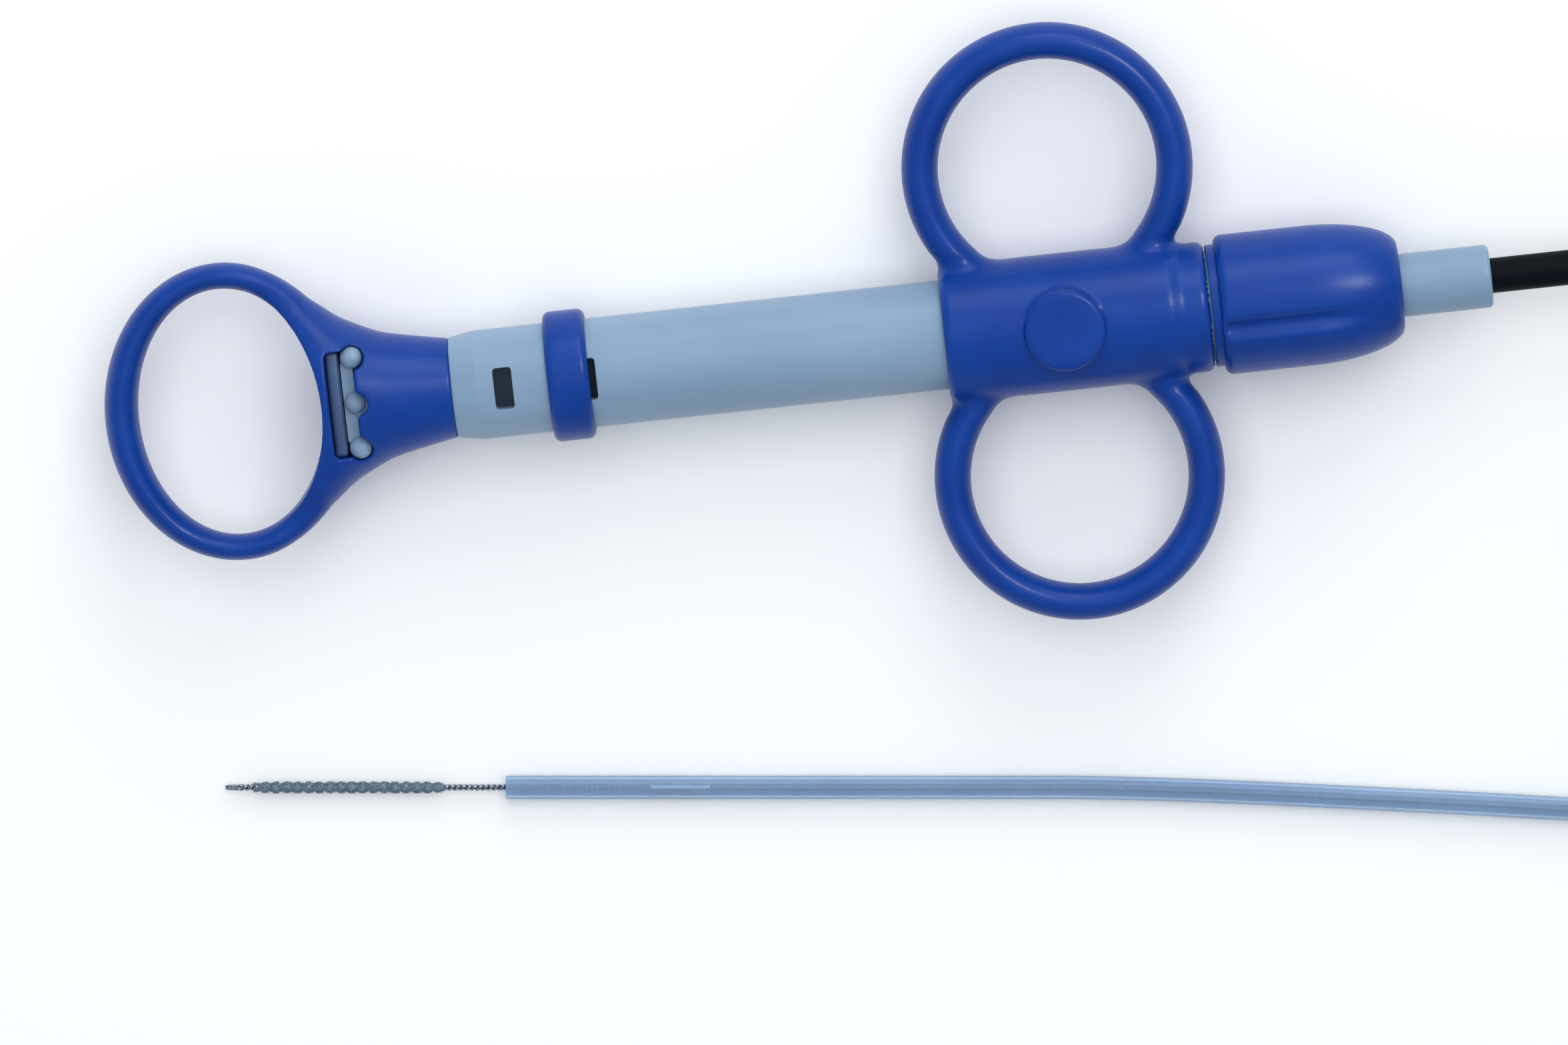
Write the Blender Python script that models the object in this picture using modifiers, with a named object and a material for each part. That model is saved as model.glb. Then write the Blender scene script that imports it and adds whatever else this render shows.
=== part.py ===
"""Cytology brush: a sheathed brush on a wire, with a thumb-ring handle and a sliding finger spool.

The handle lies flat along X, rings level, on the round cap at the back of its spool.
+X points to the sheath's exit, +Y up across the two finger rings, +Z out of the front face.
The origin is the middle of the back cap's flat face. The brush tip lies beside the handle.
"""

import math

import bmesh
import bpy
from mathutils import Matrix, Vector

MM = 0.001

# Clearances
FIXED_FIT = 0.15 * MM
SLIDING_FIT = 0.3 * MM
SMALL_FIT = 0.06 * MM
SEAT_GAP = 0.3 * MM
MERGE = 0.005 * MM
CUT_ROOM = 1.0 * MM

# Facets
ROUND_SIDES = 32
CAP_SIDES = 24
SMALL_SIDES = 20
TINY_SIDES = 12
BAR_STEPS = 2
ARC_STEPS = 3
NUT_STEPS = 6

# Handle layout along its axis, from the finger rings' centre
AXIS_HEIGHT = 7.6 * MM
TRAVEL = 34.5 * MM

# Guide tube
TUBE_RADIUS = 5.45 * MM
TUBE_BORE = 3.75 * MM
TUBE_REAR = -61.3 * MM
TUBE_SHOULDER = 2.5 * MM
TUBE_SHOULDER_DROP = 0.45 * MM
BORE_REAR = -58.0 * MM
TAIL_RADIUS = 4.0 * MM
TAIL_HEAD_RADIUS = 5.2 * MM
TAIL_HEAD_THICK = 1.2 * MM
TAIL_HEAD_FLAT = 3.4 * MM
TAIL_END = -72.1 * MM
TAIL_PEG_RADIUS = 1.15 * MM
TAIL_PEG_SPACING = 4.55 * MM
TAIL_PEG_TOP = 4.6 * MM
TAIL_PEG_BOTTOM = -1.0 * MM
NOSE_RADIUS = 4.6 * MM
NOSE_LENGTH = 9.05 * MM
WINDOW_HEIGHT = 4.2 * MM
REAR_WINDOW_LENGTH = 1.9 * MM
REAR_WINDOW_AT = -56.1 * MM
LATCH_WINDOW_LENGTH = 2.4 * MM
LATCH_WINDOW_AT = -48.0 * MM
SLOT_WIDTH = 2.6 * MM

# Thumb ring
THUMB_CENTRE = -83.6 * MM
THUMB_OUTER = (12.6 * MM, 15.0 * MM)
THUMB_HOLE = (9.2 * MM, 12.4 * MM)
THUMB_DEPTH_RATIO = 1.75
THUMB_POINTS = 44
NECK_SETBACK = 0.15 * MM
NECK_FRONT = -61.3 * MM
# The neck's sections in millimetres: distance behind its front, half height and half depth
NECK_SECTIONS = [
    (0.0, 5.0, 5.0), (0.7, 5.1, 5.1), (4.7, 5.9, 5.7), (6.7, 6.4, 6.0), (8.7, 7.3, 6.3),
    (10.7, 8.4, 6.5), (12.7, 10.0, 6.2), (14.7, 11.5, 5.3), (16.7, 12.7, 4.2), (18.7, 13.6, 3.2),
]
NECK_WINDOW_LENGTH = 2.8 * MM
NECK_WINDOW_HEIGHT = 10.7 * MM
NECK_WINDOW_DEPTH = 9.6 * MM
KEY_THICK = 1.1 * MM
KEY_DEPTH = 8.8 * MM

# Stop ring
STOP_CENTRE = -49.6 * MM
STOP_LENGTH = 4.2 * MM
STOP_RADIUS = 6.52 * MM
STOP_ROUND = 0.8 * MM
STOP_DOG_WIDTH = 3.0 * MM
STOP_DOG_DEPTH = 1.1 * MM

# Finger spool
SPOOL_REAR = -12.0 * MM
SPOOL_FRONT = 14.6 * MM
SPOOL_RADIUS = 6.9 * MM
SPOOL_COLLAR = 2.7 * MM
SPOOL_COLLAR_TAPER = 1.2 * MM
SPOOL_COLLAR_RADIUS = 6.5 * MM
BARREL_ROUND = 0.6 * MM
SPOOL_BORE = TUBE_RADIUS + SLIDING_FIT
FINGER_RING_OFFSET = 15.6 * MM
FINGER_RING_OUTER = 14.53 * MM
FINGER_RING_HOLE = 10.87 * MM
FINGER_DEPTH_RATIO = 1.45
FINGER_SEGMENTS = 36
BOSS_RADIUS = 4.05 * MM
CAP_THICK = 0.7 * MM
CAP_ROUND = 0.35 * MM
CAP_SPIGOT_RADIUS = 1.6 * MM
CAP_SPIGOT_LENGTH = 0.65 * MM

# Wire carrier and its clamp
CARRIER_LENGTH = 12.0 * MM
CARRIER_RADIUS = TUBE_BORE - SLIDING_FIT
LEG_LENGTH = 6.0 * MM
LEG_WIDTH = SLOT_WIDTH - 2 * SLIDING_FIT
LEG_REACH = AXIS_HEIGHT - CAP_THICK - FIXED_FIT - CAP_SPIGOT_LENGTH - FIXED_FIT
SCREW_RADIUS = 0.8 * MM
SCREW_SLOT = (0.35 * MM, 0.4 * MM)
SLOT_END_ROOM = 0.5 * MM

# Pull tube and drive wire
PULL_TUBE_RADIUS = 0.6 * MM
PULL_TUBE_BORE = 0.4 * MM
PULL_TUBE_REAR = -8.0 * MM
PULL_TUBE_FRONT = 47.0 * MM
WIRE_RADIUS = 0.3 * MM
WIRE_FRONT_REACH = 1.0 * MM
CRIMP_RADIUS = 0.95 * MM
CRIMP_LENGTH = 2.2 * MM

# Nose: bush, seal, hub and collet nut
BUSH_REAR = 8.0 * MM
BUSH_FLANGE = 0.9 * MM
SEAL_THICK = 1.4 * MM
SEAL_RADIUS = 4.2 * MM
HUB_FLANGE_RADIUS = 4.4 * MM
HUB_FLANGE_THICK = 2.0 * MM
STUB_RADIUS = 3.15 * MM
STUB_FRONT = 42.8 * MM
STUB_BEVEL = 0.5 * MM
STUB_SOCKET = 1.9 * MM
NUT_RADIUS = 7.0 * MM
NUT_REAR = 15.6 * MM
NUT_FRONT = 33.8 * MM
NUT_TAPER_FROM = 24.5 * MM
NUT_FRONT_RADIUS = 4.1 * MM
NUT_REAR_ROUND = 0.9 * MM
NUT_SKIRT_RADIUS = 6.1 * MM
FLUTE_COUNT = 3
FLUTE_RADIUS = 1.1 * MM
FLUTE_DEPTH = 0.5 * MM
FLUTE_REAR = 16.6 * MM
FLUTE_FRONT = 30.7 * MM
FLUTE_TILT = math.radians(15.0)

# Sheath, strain relief and ferrule
SHEATH_RADIUS = 1.2 * MM
SHEATH_BORE = 0.85 * MM
STRAIN_RADIUS = 1.75 * MM
STRAIN_BORE = 1.4 * MM
STRAIN_FRONT = 66.0 * MM
FERRULE_RADIUS = 1.7 * MM
FERRULE_LENGTH = 2.0 * MM
SHEATH_PROUD = 0.3 * MM

# Tip of the sheath and its brush
MOUTH = (-60.8 * MM, -41.8 * MM)
TIP_ANGLE = math.radians(-6.2)
TIP_LENGTH = 57.1 * MM
BRUSH_REACH = 28.4 * MM
LOOP_LENGTH = 2.7 * MM
LOOP_WIRE = 0.15 * MM
LOOP_HALF_WIDTH = 0.32 * MM
STEM_RADIUS = 0.3 * MM
STEM_INSIDE = 17.6 * MM
BRISTLE_FRONT = 25.4 * MM
BRISTLE_REAR = 6.1 * MM
BRISTLE_RADIUS = 0.66 * MM
BRISTLE_WAIST = 0.46 * MM
BRISTLE_PITCH = 2.24 * MM
BRISTLE_TAPER = 1.8 * MM
BRISTLE_END_SCALE = 0.88
BRISTLE_STEPS = 10
SLEEVE_LENGTH = 6.0 * MM
SLEEVE_RADIUS = 0.55 * MM

# Coil of the sheath, a bundle of turns lying on the table
TURN_COLUMNS = 4
TURN_LAYERS = 4
TURN_PITCH = 2.45 * MM
LAYER_PITCH = 2.45 * MM
COIL_INNER_LINE = 10.68 * MM
COIL_CENTRE = (77.0 * MM, -40.2 * MM)
COIL_ROUND = 1.2 * MM
CORD_SPACING = 6.0 * MM

# Route of the sheath from the handle to the coil, and from the coil to its straight tip, chosen by eye
LEAD_ROUTE = [
    (75.5 * MM, -0.6 * MM, 7.65 * MM),
    (83.5 * MM, -4.6 * MM, 7.9 * MM),
    (88.8 * MM, -12.0 * MM, 8.15 * MM),
    (91.8 * MM, -22.5 * MM, 8.4 * MM),
    (92.6 * MM, -26.4 * MM, 8.45 * MM),
]
RUN_ROUTE = [
    (5.97 * MM, -49.29 * MM),
    (16.07 * MM, -50.80 * MM),
    (26.15 * MM, -52.40 * MM),
    (36.25 * MM, -54.02 * MM),
    (46.3 * MM, -55.69 * MM),
    (56.0 * MM, -57.15 * MM),
    (66.0 * MM, -58.05 * MM),
]

for leftover in list(bpy.data.objects):
    bpy.data.objects.remove(leftover, do_unlink=True)

part = bpy.data.collections.new("cytology_brush")
bpy.context.scene.collection.children.link(part)
cutters = bpy.data.collections.new("cutters")
bpy.context.scene.collection.children.link(cutters)


def linear(channel):
    """Turn an 8-bit screen value into the linear value that a shader takes."""
    value = channel / 255.0
    if value <= 0.04045:
        return value / 12.92
    return ((value + 0.055) / 1.055) ** 2.4


def material(name, colour, roughness, metallic=0.0):
    made = bpy.data.materials.new(name)
    made.use_nodes = True
    shader = made.node_tree.nodes["Principled BSDF"]
    shader.inputs["Base Color"].default_value = (*[linear(c) for c in colour], 1.0)
    shader.inputs["Roughness"].default_value = roughness
    shader.inputs["Metallic"].default_value = metallic
    return made


blue_plastic = material("blue_plastic", (30, 67, 150), 0.35)
pale_plastic = material("pale_plastic", (143, 175, 210), 0.3)
black_plastic = material("black_plastic", (20, 25, 31), 0.55)
sheath_plastic = material("sheath_plastic", (140, 168, 198), 0.3)
seal_rubber = material("seal_rubber", (60, 62, 66), 0.7)
grey_steel = material("grey_steel", (96, 104, 116), 0.35, 1.0)
bright_steel = material("bright_steel", (190, 192, 196), 0.25, 1.0)
bristle_nylon = material("bristle_nylon", (205, 214, 224), 0.6)


def empty(name, location, parent=None, turn=0.0):
    """An empty that carries a group of pieces, turned about Z."""
    frame = bpy.data.objects.new(name, None)
    frame.location = location
    frame.rotation_euler = (0.0, 0.0, turn)
    frame.parent = parent
    part.objects.link(frame)
    return frame


handle = empty("handle_frame", (0.0, 0.0, AXIS_HEIGHT))
spool = empty("spool_frame", (0.0, 0.0, 0.0), handle)
tip = empty("tip_frame", (*MOUTH, SHEATH_RADIUS), None, TIP_ANGLE)
brush = empty("brush_frame", (0.0, 0.0, 0.0), tip)


def place(name, data, finish=None, parent=handle):
    """Link an object to the part, or to the cutters when it has no finish."""
    item = bpy.data.objects.new(name, data)
    item.parent = parent
    if finish is None:
        cutters.objects.link(item)
        item.hide_render = True
        item.display_type = "WIRE"
        return item
    data.materials.append(finish)
    part.objects.link(item)
    return item


def cut(target, cutter):
    step = target.modifiers.new("cut_" + cutter.name, "BOOLEAN")
    step.operation = "DIFFERENCE"
    step.solver = "EXACT"
    step.object = cutter


def fuse(target, addition):
    step = target.modifiers.new("fuse_" + addition.name, "BOOLEAN")
    step.operation = "UNION"
    step.solver = "EXACT"
    step.object = addition


def weld(target):
    """Close the hair-thin slivers that Booleans leave between points that almost meet."""
    step = target.modifiers.new("weld", "WELD")
    step.merge_threshold = MERGE


def turned(name, profile, finish=None, parent=handle, sides=ROUND_SIDES, upright=False):
    """Revolve (along, radius) points, run down the outer side from the high end. A tube's profile closes.

    A cutter starts half a facet round, so that none of its facets lies on a facet of its target.
    """
    solid = profile[0][1] == 0.0
    phase = math.pi / sides if finish is None else 0.0
    mesh = bpy.data.meshes.new(name)
    points = [(radius * math.cos(phase), radius * math.sin(phase), along) for along, radius in profile]
    edges = [(i, i + 1) for i in range(len(points) - 1)]
    if not solid:
        edges.append((len(points) - 1, 0))
    mesh.from_pydata(points, edges, [])
    item = place(name, mesh, finish, parent)
    if not upright:
        item.rotation_euler = (0.0, math.pi / 2, 0.0)
    screw = item.modifiers.new("turn", "SCREW")
    screw.axis = "Z"
    screw.steps = sides
    screw.render_steps = sides
    screw.use_merge_vertices = True
    screw.merge_threshold = MERGE
    screw.use_smooth_shade = True
    return item


def rod_profile(front, rear, radius):
    return [(front, 0.0), (front, radius), (rear, radius), (rear, 0.0)]


def tube_profile(front, rear, radius, bore):
    return [(front, bore), (front, radius), (rear, radius), (rear, bore)]


def arc(centre, radius, start, end):
    """Points of an arc in a profile, angles in degrees from the +along direction towards +radius."""
    points = []
    for i in range(ARC_STEPS + 1):
        angle = math.radians(start + (end - start) * i / ARC_STEPS)
        points.append((centre[0] + radius * math.cos(angle), centre[1] + radius * math.sin(angle)))
    return points


def box(name, low, high, finish=None, parent=handle):
    mesh = bpy.data.meshes.new(name)
    shape = bmesh.new()
    bmesh.ops.create_cube(shape, size=1.0)
    stretch = Matrix.Diagonal((*(Vector(high) - Vector(low)), 1.0))
    middle = Matrix.Translation((Vector(high) + Vector(low)) / 2)
    bmesh.ops.transform(shape, matrix=middle @ stretch, verts=shape.verts)
    shape.to_mesh(mesh)
    shape.free()
    return place(name, mesh, finish, parent)


def loft(name, sections, finish=None, parent=handle):
    """Skin a row of closed sections, each with the same number of points, and close both ends."""
    mesh = bpy.data.meshes.new(name)
    shape = bmesh.new()
    rings = [[shape.verts.new(point) for point in section] for section in sections]
    count = len(rings[0])
    for first, second in zip(rings, rings[1:]):
        for i in range(count):
            j = (i + 1) % count
            shape.faces.new((first[i], first[j], second[j], second[i]))
    shape.faces.new(rings[0])
    shape.faces.new(rings[-1])
    bmesh.ops.recalc_face_normals(shape, faces=shape.faces)
    shape.to_mesh(mesh)
    shape.free()
    mesh.shade_smooth()
    return place(name, mesh, finish, parent)


def swept(name, points, radius, finish=None, parent=None, widths=None, closed=False):
    """A round bar along a line of points; widths scale the radius point by point."""
    line = bpy.data.curves.new(name, "CURVE")
    line.dimensions = "3D"
    line.bevel_depth = radius
    line.bevel_resolution = BAR_STEPS
    line.use_fill_caps = not closed
    spline = line.splines.new("POLY")
    spline.points.add(len(points) - 1)
    for i, point in enumerate(points):
        spline.points[i].co = (*point, 1.0)
        spline.points[i].radius = widths[i] if widths else 1.0
    spline.use_cyclic_u = closed
    return place(name, line, finish, parent)


def meshed(curve, finish=None, depth_ratio=1.0):
    """Replace a curve object by a closed mesh object, stretched along Z by a ratio."""
    name = curve.name
    parent = curve.parent
    mesh = bpy.data.meshes.new_from_object(curve.evaluated_get(bpy.context.evaluated_depsgraph_get()))
    mesh.name = name
    shape = bmesh.new()
    shape.from_mesh(mesh)
    bmesh.ops.remove_doubles(shape, verts=shape.verts, dist=MERGE)
    bmesh.ops.transform(shape, matrix=Matrix.Diagonal((1.0, 1.0, depth_ratio, 1.0)), verts=shape.verts)
    shape.to_mesh(mesh)
    shape.free()
    mesh.materials.clear()
    mesh.shade_smooth()
    basis = curve.matrix_basis.copy()
    bpy.data.objects.remove(curve, do_unlink=True)
    item = place(name, mesh, finish, parent)
    item.matrix_basis = basis
    return item


def smooth_route(points, spacing):
    """Points of a Catmull-Rom curve through a hand-chosen route, about one spacing apart."""
    route = [Vector(point) for point in points]
    ends = [2 * route[0] - route[1], *route, 2 * route[-1] - route[-2]]
    line = [route[0]]
    for before, start, end, after in zip(ends, ends[1:], ends[2:], ends[3:]):
        steps = max(1, round((end - start).length / spacing))
        for i in range(1, steps + 1):
            t = i / steps
            bend = 2 * before - 5 * start + 4 * end - after
            twist = 3 * start - before - 3 * end + after
            line.append(0.5 * (2 * start + (end - before) * t + bend * t * t + twist * t * t * t))
    return line


def oval(centre, half_x, half_y, height, count):
    points = []
    for i in range(count):
        angle = 2 * math.pi * i / count
        points.append((centre + half_x * math.cos(angle), half_y * math.sin(angle), height))
    return points


# Guide tube: pale plastic, one moulding from the head in the thumb ring's neck to the nose
NUT_SEAT = SPOOL_FRONT + SLIDING_FIT
NOSE_FRONT = NUT_SEAT + NOSE_LENGTH
TAIL_HEAD_FRONT = TAIL_END + TAIL_HEAD_THICK
WINDOW_FRONT = TAIL_HEAD_FRONT + FIXED_FIT
PEG_AT = TAIL_HEAD_FRONT

guide_tube = turned("guide_tube", [
    (NOSE_FRONT, TUBE_BORE),
    (NOSE_FRONT, NOSE_RADIUS),
    (NUT_SEAT, NOSE_RADIUS),
    (NUT_SEAT, TUBE_RADIUS),
    (TUBE_REAR + TUBE_SHOULDER, TUBE_RADIUS),
    (TUBE_REAR + TUBE_SHOULDER / 2, TUBE_RADIUS - TUBE_SHOULDER_DROP / 4),
    (TUBE_REAR, TUBE_RADIUS - TUBE_SHOULDER_DROP),
    (TUBE_REAR, TAIL_RADIUS),
    (TAIL_HEAD_FRONT, TAIL_RADIUS),
    (TAIL_HEAD_FRONT, TAIL_HEAD_RADIUS),
    (TAIL_END, TAIL_HEAD_RADIUS),
    (TAIL_END, 0.0),
    (BORE_REAR, 0.0),
    (BORE_REAR, TUBE_BORE),
], pale_plastic)


def window(name, at, length):
    """A hole through the tube's front wall."""
    low = (at - length / 2, -WINDOW_HEIGHT / 2, TUBE_BORE / 2)
    high = (at + length / 2, WINDOW_HEIGHT / 2, 2 * TUBE_RADIUS)
    return box(name, low, high)


cut(guide_tube, window("rear_window_cutter", REAR_WINDOW_AT, REAR_WINDOW_LENGTH))
cut(guide_tube, window("latch_window_cutter", LATCH_WINDOW_AT, LATCH_WINDOW_LENGTH))
SLOT_REACH = LEG_LENGTH / 2 + SLOT_END_ROOM
cut(guide_tube, box(
    "back_slot_cutter",
    (-TRAVEL - SLOT_REACH, -SLOT_WIDTH / 2, -2 * TUBE_RADIUS),
    (SLOT_REACH, SLOT_WIDTH / 2, -TUBE_BORE / 2),
))
cut(guide_tube, box(
    "head_flat_cutter",
    (TAIL_END - CUT_ROOM, -2 * TUBE_RADIUS, TAIL_HEAD_FLAT),
    (TAIL_HEAD_FRONT, 2 * TUBE_RADIUS, 2 * TUBE_RADIUS),
))
for number, side in enumerate((-1, 0, 1), start=1):
    peg = turned(
        f"tail_peg_{number}", rod_profile(TAIL_PEG_TOP, TAIL_PEG_BOTTOM, TAIL_PEG_RADIUS),
        sides=SMALL_SIDES, upright=True)
    peg.location = (PEG_AT, side * TAIL_PEG_SPACING, 0.0)
    fuse(guide_tube, peg)
weld(guide_tube)

# Thumb ring: an oval band whose flared neck grips the guide tube's tail
BAND = [(outer - hole) / 2 for outer, hole in zip(THUMB_OUTER, THUMB_HOLE)]
MIDDLE = [(outer + hole) / 2 for outer, hole in zip(THUMB_OUTER, THUMB_HOLE)]
neck_sections = []
for back, half_height, half_depth in NECK_SECTIONS:
    section = oval(0.0, half_height * MM, half_depth * MM, 0.0, ROUND_SIDES)
    neck_sections.append([(NECK_FRONT - back * MM, across, up) for across, up, _ in section])
thumb_ring = loft("thumb_ring", neck_sections, blue_plastic)

thumb_hole = [
    oval(THUMB_CENTRE, THUMB_HOLE[0] + NECK_SETBACK, THUMB_HOLE[1] + NECK_SETBACK, height, THUMB_POINTS)
    for height in (-2 * AXIS_HEIGHT, 2 * AXIS_HEIGHT)
]
cut(thumb_ring, loft("thumb_hole_cutter", thumb_hole))

band_line = oval(THUMB_CENTRE, MIDDLE[0], MIDDLE[1], 0.0, THUMB_POINTS)
band_widths = []
for i in range(THUMB_POINTS):
    share = math.cos(2 * math.pi * i / THUMB_POINTS) ** 2
    band_widths.append(BAND[0] * share + BAND[1] * (1 - share))
band = swept("thumb_band", band_line, 1.0, parent=handle, widths=band_widths, closed=True)
fuse(thumb_ring, meshed(band, depth_ratio=THUMB_DEPTH_RATIO))

TAIL_BORE = TAIL_RADIUS + FIXED_FIT
HEAD_POCKET = TAIL_HEAD_RADIUS + FIXED_FIT
cut(thumb_ring, turned("tail_bore_cutter", [
    (NECK_FRONT + CUT_ROOM, 0.0),
    (NECK_FRONT + CUT_ROOM, TAIL_BORE),
    (WINDOW_FRONT, TAIL_BORE),
    (WINDOW_FRONT, HEAD_POCKET),
    (TAIL_END - FIXED_FIT, HEAD_POCKET),
    (TAIL_END - FIXED_FIT, 0.0),
]))
WINDOW_REAR = WINDOW_FRONT - NECK_WINDOW_LENGTH
WINDOW_FLOOR = -NECK_WINDOW_DEPTH / 2
neck_window = box(
    "neck_window_cutter",
    (WINDOW_REAR, -NECK_WINDOW_HEIGHT / 2, WINDOW_FLOOR),
    (WINDOW_FRONT, NECK_WINDOW_HEIGHT / 2, 2 * AXIS_HEIGHT),
)
for number, side in enumerate((-1, 0, 1), start=1):
    scallop = turned(
        f"scallop_cutter_{number}",
        rod_profile(2 * AXIS_HEIGHT + CUT_ROOM, TAIL_PEG_BOTTOM - FIXED_FIT, TAIL_PEG_RADIUS + FIXED_FIT),
        sides=SMALL_SIDES, upright=True)
    scallop.location = (PEG_AT, side * TAIL_PEG_SPACING, 0.0)
    fuse(neck_window, scallop)
cut(thumb_ring, neck_window)
weld(thumb_ring)

# Tail key: the grey bar across the neck's window, behind the tube's head
tail_key = box(
    "tail_key",
    (WINDOW_REAR + FIXED_FIT, -NECK_WINDOW_HEIGHT / 2 + FIXED_FIT, WINDOW_FLOOR + FIXED_FIT),
    (WINDOW_REAR + FIXED_FIT + KEY_THICK, NECK_WINDOW_HEIGHT / 2 - FIXED_FIT, WINDOW_FLOOR + KEY_DEPTH),
    grey_steel,
)

# Stop ring: snapped over the tube, its dog sits in the front window
STOP_BORE = TUBE_RADIUS + FIXED_FIT
STOP_FRONT = STOP_CENTRE + STOP_LENGTH / 2
STOP_REAR = STOP_CENTRE - STOP_LENGTH / 2
stop_ring = turned("stop_ring", [
    (STOP_FRONT, STOP_BORE),
    *arc((STOP_FRONT - STOP_ROUND, STOP_RADIUS - STOP_ROUND), STOP_ROUND, 0.0, 90.0),
    *arc((STOP_REAR + STOP_ROUND, STOP_RADIUS - STOP_ROUND), STOP_ROUND, 90.0, 180.0),
    (STOP_REAR, STOP_BORE),
], blue_plastic)
DOG_FRONT = STOP_FRONT - STOP_ROUND / 2
DOG_REAR = LATCH_WINDOW_AT - LATCH_WINDOW_LENGTH / 2 + FIXED_FIT
fuse(stop_ring, box(
    "stop_dog",
    (DOG_REAR, -STOP_DOG_WIDTH / 2, TUBE_RADIUS - STOP_DOG_DEPTH),
    (DOG_FRONT, STOP_DOG_WIDTH / 2, (STOP_BORE + STOP_RADIUS) / 2 - FIXED_FIT),
))

# Finger spool: barrel, two finger rings and the two round bosses, one moulding
FINGER_LINE = (FINGER_RING_OUTER + FINGER_RING_HOLE) / 2
FINGER_LIMB = (FINGER_RING_OUTER - FINGER_RING_HOLE) / 2
COLLAR_REAR = SPOOL_FRONT - SPOOL_COLLAR
finger_spool = turned("finger_spool", [
    (SPOOL_FRONT, 0.0),
    *arc((SPOOL_FRONT - BARREL_ROUND, SPOOL_COLLAR_RADIUS - BARREL_ROUND), BARREL_ROUND, 0.0, 90.0),
    (COLLAR_REAR, SPOOL_COLLAR_RADIUS),
    (COLLAR_REAR - SPOOL_COLLAR_TAPER, SPOOL_RADIUS),
    *arc((SPOOL_REAR + BARREL_ROUND, SPOOL_RADIUS - BARREL_ROUND), BARREL_ROUND, 90.0, 180.0),
    (SPOOL_REAR, 0.0),
], blue_plastic, spool)

for name, side in (("upper_finger_ring", 1), ("lower_finger_ring", -1)):
    circle = oval(0.0, FINGER_LINE, FINGER_LINE, 0.0, FINGER_SEGMENTS)
    ring = swept(name, circle, FINGER_LIMB, parent=spool, closed=True)
    ring.location = (0.0, side * FINGER_RING_OFFSET, 0.0)
    fuse(finger_spool, meshed(ring, depth_ratio=FINGER_DEPTH_RATIO))

BOSS_TOP = AXIS_HEIGHT - CAP_THICK - FIXED_FIT
boss = turned("boss", rod_profile(BOSS_TOP, -BOSS_TOP, BOSS_RADIUS), parent=spool, upright=True)
fuse(finger_spool, boss)
for name, turn in (("front_face_cutter", 0.0), ("back_face_cutter", math.pi)):
    facing = turned(
        name, rod_profile(2 * AXIS_HEIGHT, BOSS_TOP, BOSS_RADIUS + FIXED_FIT), parent=spool, upright=True)
    facing.rotation_euler = (turn, 0.0, 0.0)
    cut(finger_spool, facing)
cut(finger_spool, turned(
    "spool_bore_cutter", rod_profile(SPOOL_FRONT + CUT_ROOM, SPOOL_REAR - CUT_ROOM, SPOOL_BORE),
    parent=spool))
cut(finger_spool, turned(
    "spigot_hole_cutter", rod_profile(2 * AXIS_HEIGHT, -2 * AXIS_HEIGHT, CAP_SPIGOT_RADIUS + FIXED_FIT),
    parent=spool, sides=SMALL_SIDES, upright=True))
cut(finger_spool, box(
    "leg_pocket_cutter",
    (-LEG_LENGTH / 2 - FIXED_FIT, -LEG_WIDTH / 2 - FIXED_FIT, -BOSS_TOP - SEAT_GAP),
    (LEG_LENGTH / 2 + FIXED_FIT, LEG_WIDTH / 2 + FIXED_FIT, 0.0),
    parent=spool,
))
weld(finger_spool)

# Boss caps: two round discs pressed into the bosses; the back one is the flat that the handle rests on
cap_profile = [
    (AXIS_HEIGHT, 0.0),
    *arc((AXIS_HEIGHT - CAP_ROUND, BOSS_RADIUS - CAP_ROUND), CAP_ROUND, 0.0, 90.0),
    (AXIS_HEIGHT - CAP_THICK, BOSS_RADIUS),
    (AXIS_HEIGHT - CAP_THICK, CAP_SPIGOT_RADIUS),
    (AXIS_HEIGHT - CAP_THICK - FIXED_FIT - CAP_SPIGOT_LENGTH, CAP_SPIGOT_RADIUS),
    (AXIS_HEIGHT - CAP_THICK - FIXED_FIT - CAP_SPIGOT_LENGTH, 0.0),
]
turned("boss_cap_front", cap_profile, blue_plastic, spool, CAP_SIDES, upright=True)
back_cap = turned("boss_cap_back", cap_profile, blue_plastic, spool, CAP_SIDES, upright=True)
back_cap.rotation_euler = (math.pi, 0.0, 0.0)

# Wire carrier: slides in the tube, its leg reaches through the back slot into the spool
CLAMP_HOLE = SCREW_RADIUS + FIXED_FIT / 2
wire_carrier = turned(
    "wire_carrier", rod_profile(CARRIER_LENGTH / 2, -CARRIER_LENGTH / 2, CARRIER_RADIUS), pale_plastic, spool)
fuse(wire_carrier, box(
    "carrier_leg",
    (-LEG_LENGTH / 2, -LEG_WIDTH / 2, -LEG_REACH),
    (LEG_LENGTH / 2, LEG_WIDTH / 2, -CARRIER_RADIUS / 2),
    parent=spool,
))
cut(wire_carrier, turned(
    "pull_tube_hole_cutter", rod_profile(CARRIER_LENGTH, -CARRIER_LENGTH, PULL_TUBE_RADIUS + FIXED_FIT),
    parent=spool, sides=SMALL_SIDES))
cut(wire_carrier, turned(
    "clamp_hole_cutter", rod_profile(0.0, -AXIS_HEIGHT, CLAMP_HOLE),
    parent=spool, sides=SMALL_SIDES, upright=True))
weld(wire_carrier)

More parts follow.
